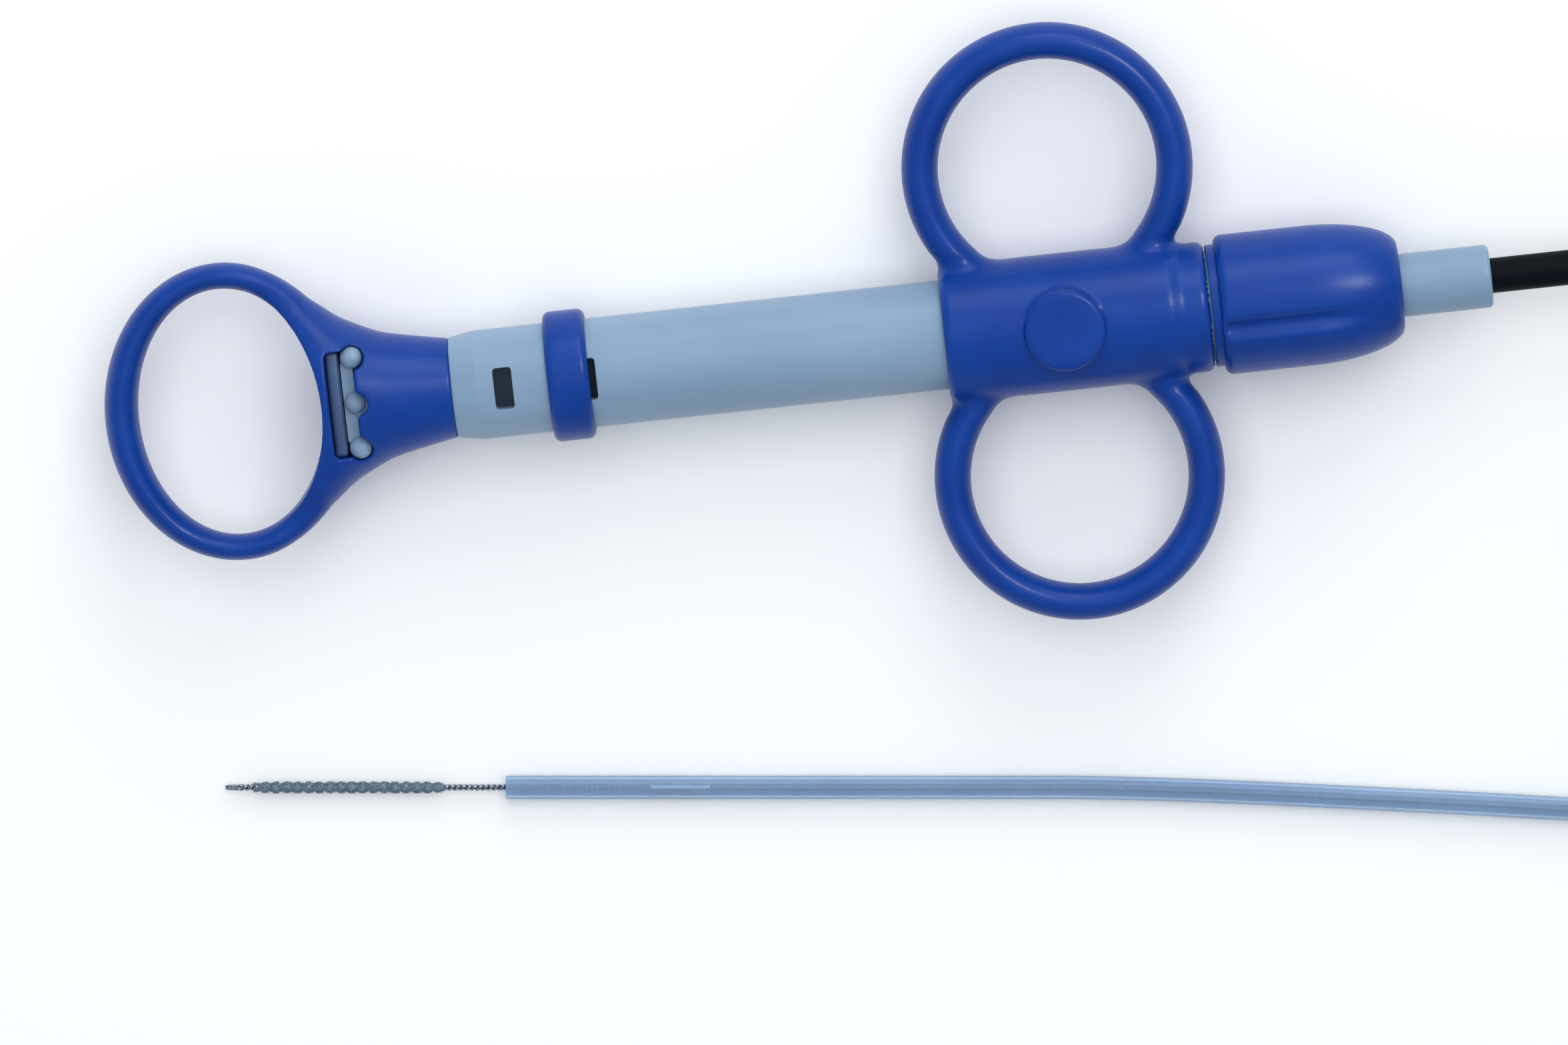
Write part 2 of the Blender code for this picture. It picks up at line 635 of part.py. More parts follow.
# Clamp screw: a slotted grub screw, under the back cap, that grips the pull tube
SCREW_HEAD = -LEG_REACH + FIXED_FIT
clamp_screw = turned(
    "clamp_screw", rod_profile(-PULL_TUBE_RADIUS - FIXED_FIT, SCREW_HEAD, SCREW_RADIUS),
    bright_steel, spool, SMALL_SIDES, upright=True)
slot_width, slot_depth = SCREW_SLOT
cut(clamp_screw, box(
    "screw_slot_cutter",
    (-slot_width / 2, -2 * SCREW_RADIUS, SCREW_HEAD - slot_depth),
    (slot_width / 2, 2 * SCREW_RADIUS, SCREW_HEAD + slot_depth),
    parent=spool,
))

# Pull tube, the drive wire in it and the crimp behind it
turned(
    "pull_tube", tube_profile(PULL_TUBE_FRONT, PULL_TUBE_REAR, PULL_TUBE_RADIUS, PULL_TUBE_BORE),
    bright_steel, spool, SMALL_SIDES)
CRIMP_FRONT = PULL_TUBE_REAR - SEAT_GAP
CRIMP_REAR = CRIMP_FRONT - CRIMP_LENGTH
turned(
    "drive_wire", rod_profile(PULL_TUBE_FRONT + WIRE_FRONT_REACH, CRIMP_REAR, WIRE_RADIUS),
    bright_steel, spool, TINY_SIDES)
turned(
    "wire_end_crimp", tube_profile(CRIMP_FRONT, CRIMP_REAR, CRIMP_RADIUS, WIRE_RADIUS + SMALL_FIT),
    grey_steel, spool, TINY_SIDES)

# Front bush: seated in the nose, it guides the pull tube
BUSH_RADIUS = TUBE_BORE - FIXED_FIT
BUSH_SEAT = NOSE_FRONT + FIXED_FIT
BUSH_FRONT = BUSH_SEAT + BUSH_FLANGE
PULL_GUIDE = PULL_TUBE_RADIUS + FIXED_FIT
turned("front_bush", [
    (BUSH_FRONT, PULL_GUIDE),
    (BUSH_FRONT, NOSE_RADIUS),
    (BUSH_SEAT, NOSE_RADIUS),
    (BUSH_SEAT, BUSH_RADIUS),
    (BUSH_REAR, BUSH_RADIUS),
    (BUSH_REAR, PULL_GUIDE),
], pale_plastic)

# Seal ring: squeezed between the bush and the hub
SEAL_REAR = BUSH_FRONT + FIXED_FIT
SEAL_FRONT = SEAL_REAR + SEAL_THICK
seal_round = SEAL_THICK / 3
turned("seal_ring", [
    (SEAL_FRONT, PULL_GUIDE),
    *arc((SEAL_FRONT - seal_round, SEAL_RADIUS - seal_round), seal_round, 0.0, 90.0),
    *arc((SEAL_REAR + seal_round, SEAL_RADIUS - seal_round), seal_round, 90.0, 180.0),
    (SEAL_REAR, PULL_GUIDE),
], seal_rubber, sides=SMALL_SIDES)

# Nose hub: a flange held by the nut, and the pale stub that the sheath is fixed in
HUB_REAR = SEAL_FRONT + FIXED_FIT
HUB_SHOULDER = HUB_REAR + HUB_FLANGE_THICK
SOCKET_FLOOR = HUB_SHOULDER + SEAT_GAP
turned("nose_hub", [
    (STUB_FRONT, STUB_SOCKET),
    (STUB_FRONT, STUB_RADIUS - STUB_BEVEL),
    (STUB_FRONT - STUB_BEVEL, STUB_RADIUS),
    (HUB_SHOULDER, STUB_RADIUS),
    (HUB_SHOULDER, HUB_FLANGE_RADIUS),
    (HUB_REAR, HUB_FLANGE_RADIUS),
    (HUB_REAR, SHEATH_BORE),
    (SOCKET_FLOOR, SHEATH_BORE),
    (SOCKET_FLOOR, STUB_SOCKET),
], pale_plastic)

# Collet nut: screwed on the nose up to its skirt, its front lip holds the hub's flange
NUT_BORE = NOSE_RADIUS + FIXED_FIT
SKIRT_REAR = NUT_SEAT + FIXED_FIT
NUT_LIP = HUB_SHOULDER + FIXED_FIT
NUT_MOUTH = STUB_RADIUS + FIXED_FIT
nut_nose = []
for i in range(NUT_STEPS + 1):
    turn = math.pi / 2 * (1 - i / NUT_STEPS)
    nut_nose.append((
        NUT_TAPER_FROM + (NUT_FRONT - NUT_TAPER_FROM) * math.sin(turn),
        NUT_FRONT_RADIUS + (NUT_RADIUS - NUT_FRONT_RADIUS) * math.cos(turn),
    ))
collet_nut = turned("collet_nut", [
    (NUT_FRONT, NUT_MOUTH),
    *nut_nose,
    *arc((NUT_REAR + NUT_REAR_ROUND, NUT_RADIUS - NUT_REAR_ROUND), NUT_REAR_ROUND, 90.0, 180.0),
    (NUT_REAR, NUT_SKIRT_RADIUS),
    (SKIRT_REAR, NUT_SKIRT_RADIUS),
    (SKIRT_REAR, NUT_BORE),
    (NUT_LIP, NUT_BORE),
    (NUT_LIP, NUT_MOUTH),
], blue_plastic)
for number in range(FLUTE_COUNT):
    flute = turned(f"flute_cutter_{number + 1}", [
        (FLUTE_FRONT, 0.0),
        *arc((FLUTE_FRONT - FLUTE_RADIUS, 0.0), FLUTE_RADIUS, 0.0, 90.0)[1:],
        *arc((FLUTE_REAR + FLUTE_RADIUS, 0.0), FLUTE_RADIUS, 90.0, 180.0)[:-1],
        (FLUTE_REAR, 0.0),
    ], sides=SMALL_SIDES)
    angle = -FLUTE_TILT + 2 * math.pi * number / FLUTE_COUNT
    reach = NUT_RADIUS + FLUTE_RADIUS - FLUTE_DEPTH
    flute.location = (0.0, reach * math.sin(angle), reach * math.cos(angle))
    cut(collet_nut, flute)
weld(collet_nut)

# Sheath's handle end: ferrule on the sheath, both in the stub, under the black strain relief
FERRULE_REAR = SOCKET_FLOOR + SEAT_GAP
FERRULE_FRONT = FERRULE_REAR + FERRULE_LENGTH
STRAIN_REAR = FERRULE_FRONT + SEAT_GAP
ROOT_FRONT = STRAIN_FRONT + SHEATH_PROUD
turned(
    "sheath_ferrule", tube_profile(FERRULE_FRONT, FERRULE_REAR, FERRULE_RADIUS, SHEATH_RADIUS + SMALL_FIT),
    bright_steel, sides=SMALL_SIDES)
turned(
    "sheath_root", tube_profile(ROOT_FRONT, FERRULE_REAR, SHEATH_RADIUS, SHEATH_BORE),
    sheath_plastic, sides=SMALL_SIDES)
turned(
    "strain_relief", tube_profile(STRAIN_FRONT, STRAIN_REAR, STRAIN_RADIUS, STRAIN_BORE),
    black_plastic, sides=SMALL_SIDES)

# Coil of the sheath: the closed outer shape of its bundle of turns
COIL_INNER = COIL_INNER_LINE - SHEATH_RADIUS
COIL_OUTER = COIL_INNER_LINE + (TURN_COLUMNS - 1) * TURN_PITCH + SHEATH_RADIUS
COIL_TOP = (TURN_LAYERS - 1) * LAYER_PITCH + 2 * SHEATH_RADIUS
coil = turned("sheath_coil", [
    *arc((COIL_TOP - COIL_ROUND, COIL_INNER + COIL_ROUND), COIL_ROUND, -90.0, 0.0),
    *arc((COIL_TOP - COIL_ROUND, COIL_OUTER - COIL_ROUND), COIL_ROUND, 0.0, 90.0),
    *arc((COIL_ROUND, COIL_OUTER - COIL_ROUND), COIL_ROUND, 90.0, 180.0),
    *arc((COIL_ROUND, COIL_INNER + COIL_ROUND), COIL_ROUND, 180.0, 270.0),
], sheath_plastic, None, upright=True)
coil.location = (*COIL_CENTRE, 0.0)

# Sheath between the handle, the coil and the straight tip
lead_start = (ROOT_FRONT + SEAT_GAP, 0.0, AXIS_HEIGHT)
swept("sheath_lead", smooth_route([lead_start, *LEAD_ROUTE], CORD_SPACING), SHEATH_RADIUS, sheath_plastic)
tip_reach = TIP_LENGTH + SEAT_GAP
run_start = (
    MOUTH[0] + tip_reach * math.cos(TIP_ANGLE),
    MOUTH[1] + tip_reach * math.sin(TIP_ANGLE),
    SHEATH_RADIUS,
)
run_route = [run_start] + [(x, y, SHEATH_RADIUS) for x, y in RUN_ROUTE]
swept("sheath_run", smooth_route(run_route, CORD_SPACING), SHEATH_RADIUS, sheath_plastic)

# Straight tip of the sheath, open for the brush
turned(
    "sheath_tip", tube_profile(TIP_LENGTH, 0.0, SHEATH_RADIUS, SHEATH_BORE),
    sheath_plastic, tip, SMALL_SIDES)

# Brush stem: a twisted wire, plain here, that ends in a folded loop
brush_stem = turned(
    "brush_stem", rod_profile(STEM_INSIDE, -BRUSH_REACH + LOOP_LENGTH - LOOP_WIRE, STEM_RADIUS),
    bright_steel, brush, TINY_SIDES)
loop_centre = -BRUSH_REACH + LOOP_LENGTH / 2
loop_line = oval(loop_centre, LOOP_LENGTH / 2 - LOOP_WIRE, LOOP_HALF_WIDTH, 0.0, SMALL_SIDES)
fuse(brush_stem, meshed(swept("tip_loop", loop_line, LOOP_WIRE, parent=brush, closed=True)))
weld(brush_stem)

# Bristles: held between the stem's wires, they stand as a left-hand two-start spiral, tapered at both ends
bristle_length = BRISTLE_FRONT - BRISTLE_REAR
bristle_rings = round(bristle_length / BRISTLE_PITCH * BRISTLE_STEPS)
bristle_sections = []
for i in range(bristle_rings + 1):
    along = bristle_length * i / bristle_rings
    nearest_end = min(along, bristle_length - along)
    scale = BRISTLE_END_SCALE + (1 - BRISTLE_END_SCALE) * min(1.0, nearest_end / BRISTLE_TAPER)
    twist = Matrix.Rotation(-2 * math.pi * along / BRISTLE_PITCH, 3, "X")
    section = []
    for across, up, _ in oval(0.0, BRISTLE_RADIUS * scale, BRISTLE_WAIST * scale, 0.0, TINY_SIDES):
        section.append(twist @ Vector((0.0, across, up)) + Vector((along - BRISTLE_FRONT, 0.0, 0.0)))
    bristle_sections.append(section)
bristles = loft("brush_bristles", bristle_sections, bristle_nylon, brush)
cut(bristles, turned(
    "stem_hole_cutter", rod_profile(0.0, -BRUSH_REACH, STEM_RADIUS + SMALL_FIT),
    parent=brush, sides=TINY_SIDES))

# Brush sleeve: crimped over the stem's inner end, where the drive wire joins it
SLEEVE_REAR = STEM_INSIDE - SLEEVE_LENGTH / 2
turned(
    "brush_sleeve",
    tube_profile(SLEEVE_REAR + SLEEVE_LENGTH, SLEEVE_REAR, SLEEVE_RADIUS, STEM_RADIUS + SMALL_FIT),
    grey_steel, brush, TINY_SIDES)
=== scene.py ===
"""The look of a sheathed cytology brush: a blue ring handle, its pale tube and its long sheath."""

import math
import random

import bmesh
import bpy
import numpy as np
from mathutils import Matrix, Vector


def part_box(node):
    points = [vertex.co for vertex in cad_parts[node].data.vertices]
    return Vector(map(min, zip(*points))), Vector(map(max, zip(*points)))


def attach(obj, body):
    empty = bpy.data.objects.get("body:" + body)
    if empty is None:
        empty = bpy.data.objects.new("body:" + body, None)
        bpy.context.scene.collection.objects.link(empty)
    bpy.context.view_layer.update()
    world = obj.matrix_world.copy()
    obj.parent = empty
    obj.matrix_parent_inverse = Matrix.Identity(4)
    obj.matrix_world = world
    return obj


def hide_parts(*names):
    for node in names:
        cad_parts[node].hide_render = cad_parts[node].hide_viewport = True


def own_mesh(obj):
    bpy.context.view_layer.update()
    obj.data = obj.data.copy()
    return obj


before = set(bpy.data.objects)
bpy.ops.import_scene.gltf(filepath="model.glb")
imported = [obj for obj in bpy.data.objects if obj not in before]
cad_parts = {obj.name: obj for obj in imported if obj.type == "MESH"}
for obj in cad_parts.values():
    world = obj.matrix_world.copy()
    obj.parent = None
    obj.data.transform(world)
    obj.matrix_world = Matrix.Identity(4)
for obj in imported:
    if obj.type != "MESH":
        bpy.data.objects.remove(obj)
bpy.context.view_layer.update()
MM = 0.001

# The brush lies on a white table in soft daylight. Wide lamps light it from above and from the far
# side. A small one lights nothing, and is only mirrored as the soft gleam on the nut's nose.
# The camera looks almost straight down, turned a little, as the handle lies aslant in the picture.
PICTURE_TURN = math.radians(6.2)
CAMERA_LEAN = math.radians(8.0)
CAMERA_DISTANCE = 1200 * MM
CAMERA_LENS = 275.5
CAMERA_FILM = 36.0
NEAREST_SEEN = 0.01
LOOKED_AT = Vector((-29.9, -17.1, 7.6)) * MM
picture_right = Vector((math.cos(PICTURE_TURN), -math.sin(PICTURE_TURN), 0.0))
picture_up = Vector((math.sin(PICTURE_TURN), math.cos(PICTURE_TURN), 0.0))
overhead = Vector((0.0, 0.0, 1.0))


def facing(place, aim, upward):
    """The matrix of a camera or lamp at a place, looking at its aim."""
    back = (place - aim).normalized()
    right = upward.cross(back).normalized()
    turned = Matrix((right, back.cross(right), back)).transposed().to_4x4()
    return Matrix.Translation(place) @ turned


view_data = bpy.data.cameras.new("camera")
view_data.lens = CAMERA_LENS
view_data.sensor_width = CAMERA_FILM
view_data.clip_start = NEAREST_SEEN
camera = bpy.data.objects.new("camera", view_data)
camera.matrix_world = facing(
    LOOKED_AT + CAMERA_DISTANCE * (picture_up * math.sin(CAMERA_LEAN) + overhead * math.cos(CAMERA_LEAN)),
    LOOKED_AT, picture_up)
bpy.context.scene.collection.objects.link(camera)
bpy.context.scene.camera = camera
bpy.context.scene.view_settings.view_transform = "Standard"

DAYLIGHT_COLOUR = (0.9, 0.94, 1.0, 1.0)
DAYLIGHT_STRENGTH = 0.52
daylight = bpy.data.worlds.new("daylight")
daylight.use_nodes = True
daylight.node_tree.nodes["Background"].inputs["Color"].default_value = DAYLIGHT_COLOUR
daylight.node_tree.nodes["Background"].inputs["Strength"].default_value = DAYLIGHT_STRENGTH
bpy.context.scene.world = daylight

LAMP_COLOUR = (0.97, 0.985, 1.0)
# Each lamp's place above the handle, towards the picture's top and to its right, its size and its
# watts, and whether it lights the handle and is mirrored in it
LAMPS = {
    "overhead_lamp": ((0.88, 0.25, 0.0), 0.9, 5.3, True, False),
    "far_lamp": ((0.36, 0.68, 0.1), 0.42, 1.7, True, True),
    "gleam_lamp": ((0.84, 0.42, 0.4), 0.1, 4.2, False, True),
}
for name, ((above, upward, aside), size, watts, lighting, mirrored) in LAMPS.items():
    lamp_data = bpy.data.lights.new(name, "AREA")
    lamp_data.size = size
    lamp_data.energy = watts
    lamp_data.color = LAMP_COLOUR
    lamp = bpy.data.objects.new(name, lamp_data)
    lamp_place = LOOKED_AT + overhead * above + picture_up * upward + picture_right * aside
    lamp.matrix_world = facing(lamp_place, LOOKED_AT, picture_up)
    lamp.visible_camera = False
    lamp.visible_diffuse = lighting
    lamp.visible_glossy = mirrored
    bpy.context.scene.collection.objects.link(lamp)

TABLE_HALF = 1.5
TABLE_WHITE = (0.97, 0.97, 0.97, 1.0)
TABLE_ROUGHNESS = 0.75
TABLE_SHINE = 0.2
table_mesh = bpy.data.meshes.new("table")
table_mesh.from_pydata(
    [(x * TABLE_HALF, y * TABLE_HALF, 0.0) for x, y in ((-1, -1), (1, -1), (1, 1), (-1, 1))],
    [], [(0, 1, 2, 3)])
table = bpy.data.objects.new("table", table_mesh)
bpy.context.scene.collection.objects.link(table)
laminate = bpy.data.materials.new("white_laminate")
laminate.use_nodes = True
laminate_shader = laminate.node_tree.nodes["Principled BSDF"]
laminate_shader.inputs["Base Color"].default_value = TABLE_WHITE
laminate_shader.inputs["Roughness"].default_value = TABLE_ROUGHNESS
laminate_shader.inputs["Specular IOR Level"].default_value = TABLE_SHINE
table_mesh.materials.append(laminate)

# The sheath is 1.6 m of thin extruded plastic tube, pale blue and half see-through.
# It leaves the handle's nose, lies as a neat coil past the picture's edge, and comes back
# in a long gentle bow to its straight, open tip. It takes the place of the five plain solids.
SHEATH_RADIUS = 1.2 * MM
SHEATH_BORE = 0.85 * MM
SHEATH_SIDES = 28
STRAIGHT_STEP = 2.0 * MM
HANDLE_STEPS = 12
LEAD_GAP = 0.3 * MM
RUN_IN = 2
tube_low, tube_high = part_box("guide_tube")
AXIS_HEIGHT = (tube_low.z + tube_high.z) / 2
root_low, root_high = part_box("sheath_root")
SHEATH_START = root_low.x
lead_start = Vector((root_high.x + LEAD_GAP, 0.0, AXIS_HEIGHT))
# The ways to the coil and back from it, as places in millimetres
LEAD_ROUTE = [
    (75.5, -0.6, 7.65), (83.5, -4.6, 7.9), (88.8, -12.0, 8.15), (91.8, -22.5, 8.4), (92.6, -26.4, 8.45),
]
MOUTH = Vector((-60.8, -41.8, 1.2)) * MM
TIP_ALONG = picture_right
TIP_LENGTH = 57.4 * MM
TIP_RUN_IN = 6 * MM
RUN_ROUTE = [
    (5.97, -49.29, 1.2), (16.07, -50.80, 1.2), (26.15, -52.40, 1.2), (36.25, -54.02, 1.2),
    (46.3, -55.69, 1.2), (56.0, -57.15, 1.2), (66.0, -58.05, 1.2),
]
COIL_CENTRE = Vector((77.0, -40.2, 0.0)) * MM
COIL_INNER_LINE = 10.68 * MM
TURN_PITCH = 2.45 * MM
TURN_ROWS = 4
TURNS = TURN_ROWS * TURN_ROWS
COIL_STEPS = 48
COIL_ARRIVES = math.radians(12.0)
COIL_LEAVES = math.radians(-90.0) - (TURNS - 1) * 2 * math.pi
JOG_SHARE = 0.2


def eased(share):
    return share * share * (3 - 2 * share)


def through(points, step):
    """A smooth curve through given points, a point each step or so."""
    ends = [2 * points[0] - points[1], *points, 2 * points[-1] - points[-2]]
    line = [points[0]]
    for before, start, end, after in zip(ends, ends[1:], ends[2:], ends[3:]):
        steps = max(1, round((end - start).length / step))
        for i in range(1, steps + 1):
            t = i / steps
            bend = 2 * before - 5 * start + 4 * end - after
            twist = 3 * start - before - 3 * end + after
            line.append(0.5 * (2 * start + (end - before) * t + bend * t * t + twist * t * t * t))
    return line


def coil_place(number):
    """Radius and height of a numbered turn: down row by row, in and out across each row."""
    row, column = divmod(number, TURN_ROWS)
    if row % 2 == 0:
        column = TURN_ROWS - 1 - column
    height = (TURN_ROWS - 1 - row) * TURN_PITCH + SHEATH_RADIUS
    return COIL_INNER_LINE + column * TURN_PITCH, height


def coil_points():
    """The sheath's coil, wound clockwise from its top outer turn to its bottom outer turn."""
    swing = COIL_ARRIVES - COIL_LEAVES
    count = round(swing / (2 * math.pi) * COIL_STEPS)
    line = []
    for i in range(count + 1):
        gone = swing * i / count
        number = min(int(gone / (2 * math.pi)), TURNS - 1)
        share = gone / (2 * math.pi) - number
        jog = eased(max(0.0, (share - 1 + JOG_SHARE) / JOG_SHARE))
        radius, height = coil_place(number)
        following = coil_place(min(number + 1, TURNS - 1))
        radius += (following[0] - radius) * jog
        height += (following[1] - height) * jog
        angle = COIL_ARRIVES - gone
        line.append(COIL_CENTRE + Vector((radius * math.cos(angle), radius * math.sin(angle), height)))
    return line


coil = coil_points()
handle_end = [
    Vector((SHEATH_START + (lead_start.x - SHEATH_START) * i / HANDLE_STEPS, 0.0, AXIS_HEIGHT))
    for i in range(HANDLE_STEPS + 1)
]
before_lead = handle_end[-1 - RUN_IN]
lead = through(
    [before_lead, lead_start, *[Vector(p) * MM for p in LEAD_ROUTE], coil[0], coil[RUN_IN]], STRAIGHT_STEP)
lead = lead[round((lead_start - before_lead).length / STRAIGHT_STEP) + 1:]
lead = [p for p in lead if (p - coil[0]).length > STRAIGHT_STEP / 2 and p.y > coil[0].y]
tip_end = MOUTH + TIP_ALONG * TIP_LENGTH
before_run = coil[-1 - RUN_IN]
run = through(
    [before_run, coil[-1], *[Vector(p) * MM for p in reversed(RUN_ROUTE)], tip_end,
     tip_end - TIP_ALONG * TIP_RUN_IN], STRAIGHT_STEP)
run = run[round((coil[-1] - before_run).length / STRAIGHT_STEP) + 1:]
tip_steps = round(TIP_LENGTH / STRAIGHT_STEP)
tip = [MOUTH + TIP_ALONG * TIP_LENGTH * (1 - i / tip_steps) for i in range(tip_steps + 1)]
run = [p for p in run if (p - MOUTH).dot(TIP_ALONG) > TIP_LENGTH + STRAIGHT_STEP / 2]
sheath_line = handle_end + lead + coil + run + tip


SHARP_FROM = math.radians(40.0)
SHARP_FROM_CUT = math.radians(35.0)


def solid(name, points, faces):
    """A new mesh object with its faces turned outward and smooth."""
    mesh = bpy.data.meshes.new(name)
    mesh.from_pydata([tuple(p) for p in points], [], faces)
    shape = bmesh.new()
    shape.from_mesh(mesh)
    bmesh.ops.recalc_face_normals(shape, faces=shape.faces)
    shape.to_mesh(mesh)
    shape.free()
    mesh.shade_smooth()
    mesh.set_sharp_from_angle(angle=SHARP_FROM)
    made = bpy.data.objects.new(name, mesh)
    bpy.context.scene.collection.objects.link(made)
    return made


def belt(start, ahead, sides):
    """The faces between two rings of points, which begin at the numbers start and ahead."""
    faces = []
    for k in range(sides):
        j = (k + 1) % sides
        faces.append((start + k, start + j, ahead + j, ahead + k))
    return faces


def tube_along(name, line, section, sides, closed_ends=False):
    """A round bar along a line, or a pipe if its section has two radii, outer and inner."""
    count = len(line)
    across = Vector((0.0, 1.0, 0.0))
    rings = []
    for i, place in enumerate(line):
        ahead = (line[min(i + 1, count - 1)] - line[max(i - 1, 0)]).normalized()
        across = (across - ahead * across.dot(ahead)).normalized()
        rings.append((place, across, ahead.cross(across)))
    points, faces = [], []
    for radius in section:
        start = len(points)
        for place, first, second in rings:
            for k in range(sides):
                angle = 2 * math.pi * k / sides
                points.append(place + radius * (math.cos(angle) * first + math.sin(angle) * second))
        for i in range(count - 1):
            faces += belt(start + i * sides, start + (i + 1) * sides, sides)
    if closed_ends:
        faces.append(tuple(range(sides)))
        faces.append(tuple((count - 1) * sides + k for k in range(sides)))
    else:
        inner = count * sides
        for end_ring in (0, (count - 1) * sides):
            faces += belt(end_ring, inner + end_ring, sides)
    return solid(name, points, faces)


def linear(channel):
    """An 8-bit screen value as the linear value that a shader takes."""
    value = channel / 255.0
    if value <= 0.04045:
        return value / 12.92
    return ((value + 0.055) / 1.055) ** 2.4


CLOUD_DETAIL = 4.0
GRAIN_DETAIL = 3.0
SHADES_MEET = (0.3, 0.7)


def finish_of(name, light, dark, patch, grain, grain_depth, roughness, stretch=(1.0, 1.0, 1.0), **sockets):
    """A finish with soft patches of two shades, a fine grain and uneven gloss; patch and grain are sizes."""
    made = bpy.data.materials.new(name)
    made.use_nodes = True
    nodes, links = made.node_tree.nodes, made.node_tree.links
    shader = nodes["Principled BSDF"]
    where = nodes.new("ShaderNodeTexCoord")
    drawn = nodes.new("ShaderNodeMapping")
    drawn.inputs["Scale"].default_value = stretch
    links.new(where.outputs["Object"], drawn.inputs["Vector"])
    clouds = nodes.new("ShaderNodeTexNoise")
    clouds.inputs["Scale"].default_value = 1.0 / patch
    clouds.inputs["Detail"].default_value = CLOUD_DETAIL
    links.new(drawn.outputs["Vector"], clouds.inputs["Vector"])
    shades = nodes.new("ShaderNodeValToRGB")
    for element, position, shade in zip(shades.color_ramp.elements, SHADES_MEET, (dark, light)):
        element.position = position
        element.color = (*[linear(c) for c in shade], 1.0)
    links.new(clouds.outputs["Fac"], shades.inputs["Fac"])
    links.new(shades.outputs["Color"], shader.inputs["Base Color"])
    pores = nodes.new("ShaderNodeTexNoise")
    pores.inputs["Scale"].default_value = 1.0 / grain
    pores.inputs["Detail"].default_value = GRAIN_DETAIL
    links.new(drawn.outputs["Vector"], pores.inputs["Vector"])
    relief = nodes.new("ShaderNodeBump")
    relief.inputs["Distance"].default_value = grain_depth
    relief.inputs["Strength"].default_value = 1.0
    links.new(pores.outputs["Fac"], relief.inputs["Height"])
    links.new(relief.outputs["Normal"], shader.inputs["Normal"])
    gloss = nodes.new("ShaderNodeMapRange")
    gloss.inputs["To Min"].default_value = roughness[0]
    gloss.inputs["To Max"].default_value = roughness[1]
    links.new(clouds.outputs["Fac"], gloss.inputs["Value"])
    links.new(gloss.outputs["Result"], shader.inputs["Roughness"])
    for socket, value in sockets.items():
        shader.inputs[socket.replace("_", " ")].default_value = value
    return made


def fit(piece, finish, body, slot, *stands_for):
    """Give a piece its finish and the body that it moves with, and let it stand for plain solids."""
    piece.data.materials.clear()
    piece.data.materials.append(finish)
    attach(piece, body)
    if stands_for:
        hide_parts(*stands_for)


sheath_plastic = finish_of(
    "sheath_plastic", (198, 222, 244), (180, 208, 236), 9.0 * MM, 0.5 * MM, 0.0015 * MM, (0.06, 0.18),
    stretch=(0.2, 1.0, 1.0), Transmission_Weight=0.8, IOR=1.33, Specular_IOR_Level=0.5)
sheath = tube_along("sheath", sheath_line, (SHEATH_RADIUS, SHEATH_BORE), SHEATH_SIDES)
fit(sheath, sheath_plastic, "handle", "sheath_plastic",
    "sheath_root", "sheath_lead", "sheath_coil", "sheath_run", "sheath_tip")

# The drive wire runs through the whole sheath: a fine steel cable that ends at the brush's sleeve.
# The stretch next to the brush is a piece of its own, drawn from the sleeve up towards the part that lies
# still.
CABLE_RADIUS = 0.3 * MM
CABLE_SIDES = 10
TRAVEL = 34.5 * MM
SLIDE_STEPS = 12
SLEEVE_END = 20.6 * MM
HANDLE_SIDE = -5 * MM
still_from = MOUTH + TIP_ALONG * (SLEEVE_END + TRAVEL)
cable_start = Vector((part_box("drive_wire")[1].x, 0.0, AXIS_HEIGHT))
cable_line = [cable_start]
cable_line += [p for p in sheath_line if p.x > cable_start.x + MM or p.y < HANDLE_SIDE]
cable_line = [p for p in cable_line if p.y > HANDLE_SIDE or (p - still_from).dot(TIP_ALONG) > MM]
cable_line.append(still_from)
cable_steel = finish_of(
    "cable_steel", (128, 140, 156), (76, 88, 104), 0.25 * MM, 0.12 * MM, 0.02 * MM, (0.3, 0.5),
    Metallic=0.9)
still_cable = tube_along("drive_cable", cable_line, (CABLE_RADIUS,), CABLE_SIDES, closed_ends=True)
fit(still_cable, cable_steel, "handle", "bright_steel")
slide_line = [MOUTH + TIP_ALONG * (SLEEVE_END + TRAVEL * i / SLIDE_STEPS) for i in range(SLIDE_STEPS + 1)]
sliding_cable = tube_along("drive_cable_front", slide_line, (CABLE_RADIUS,), CABLE_SIDES, closed_ends=True)
fit(sliding_cable, cable_steel, "handle", "bright_steel")
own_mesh(sliding_cable)

# The black strain relief is a soft sleeve over the sheath's first stretch, pushed into the nose.
# It is extruded rubbery plastic, cut straight, with faint lines along its length.
STRAIN_SIDES = 96
FINE_STEP = 0.8 * MM
ROUND_STEPS = 6


def rounded(corners):
    """A closed profile through (along, out, rounding) corners, each rounded by an arc of that radius."""
    line = []
    for i, (along, out, rounding) in enumerate(corners):
        here = Vector((along, out))
        if rounding == 0:
            line.append(here)
            continue
        back = (Vector(corners[i - 1][:2]) - here).normalized()
        ahead = (Vector(corners[(i + 1) % len(corners)][:2]) - here).normalized()
        half = back.angle(ahead) / 2
        middle = here + (back + ahead).normalized() * rounding / math.sin(half)
        start = here + back * rounding / math.tan(half) - middle
        end = here + ahead * rounding / math.tan(half) - middle
        sweep = math.atan2(start.x * end.y - start.y * end.x, start.dot(end))
        for k in range(ROUND_STEPS + 1):
            turn = Matrix.Rotation(sweep * k / ROUND_STEPS, 2)
            line.append(middle + turn @ start)
    return line


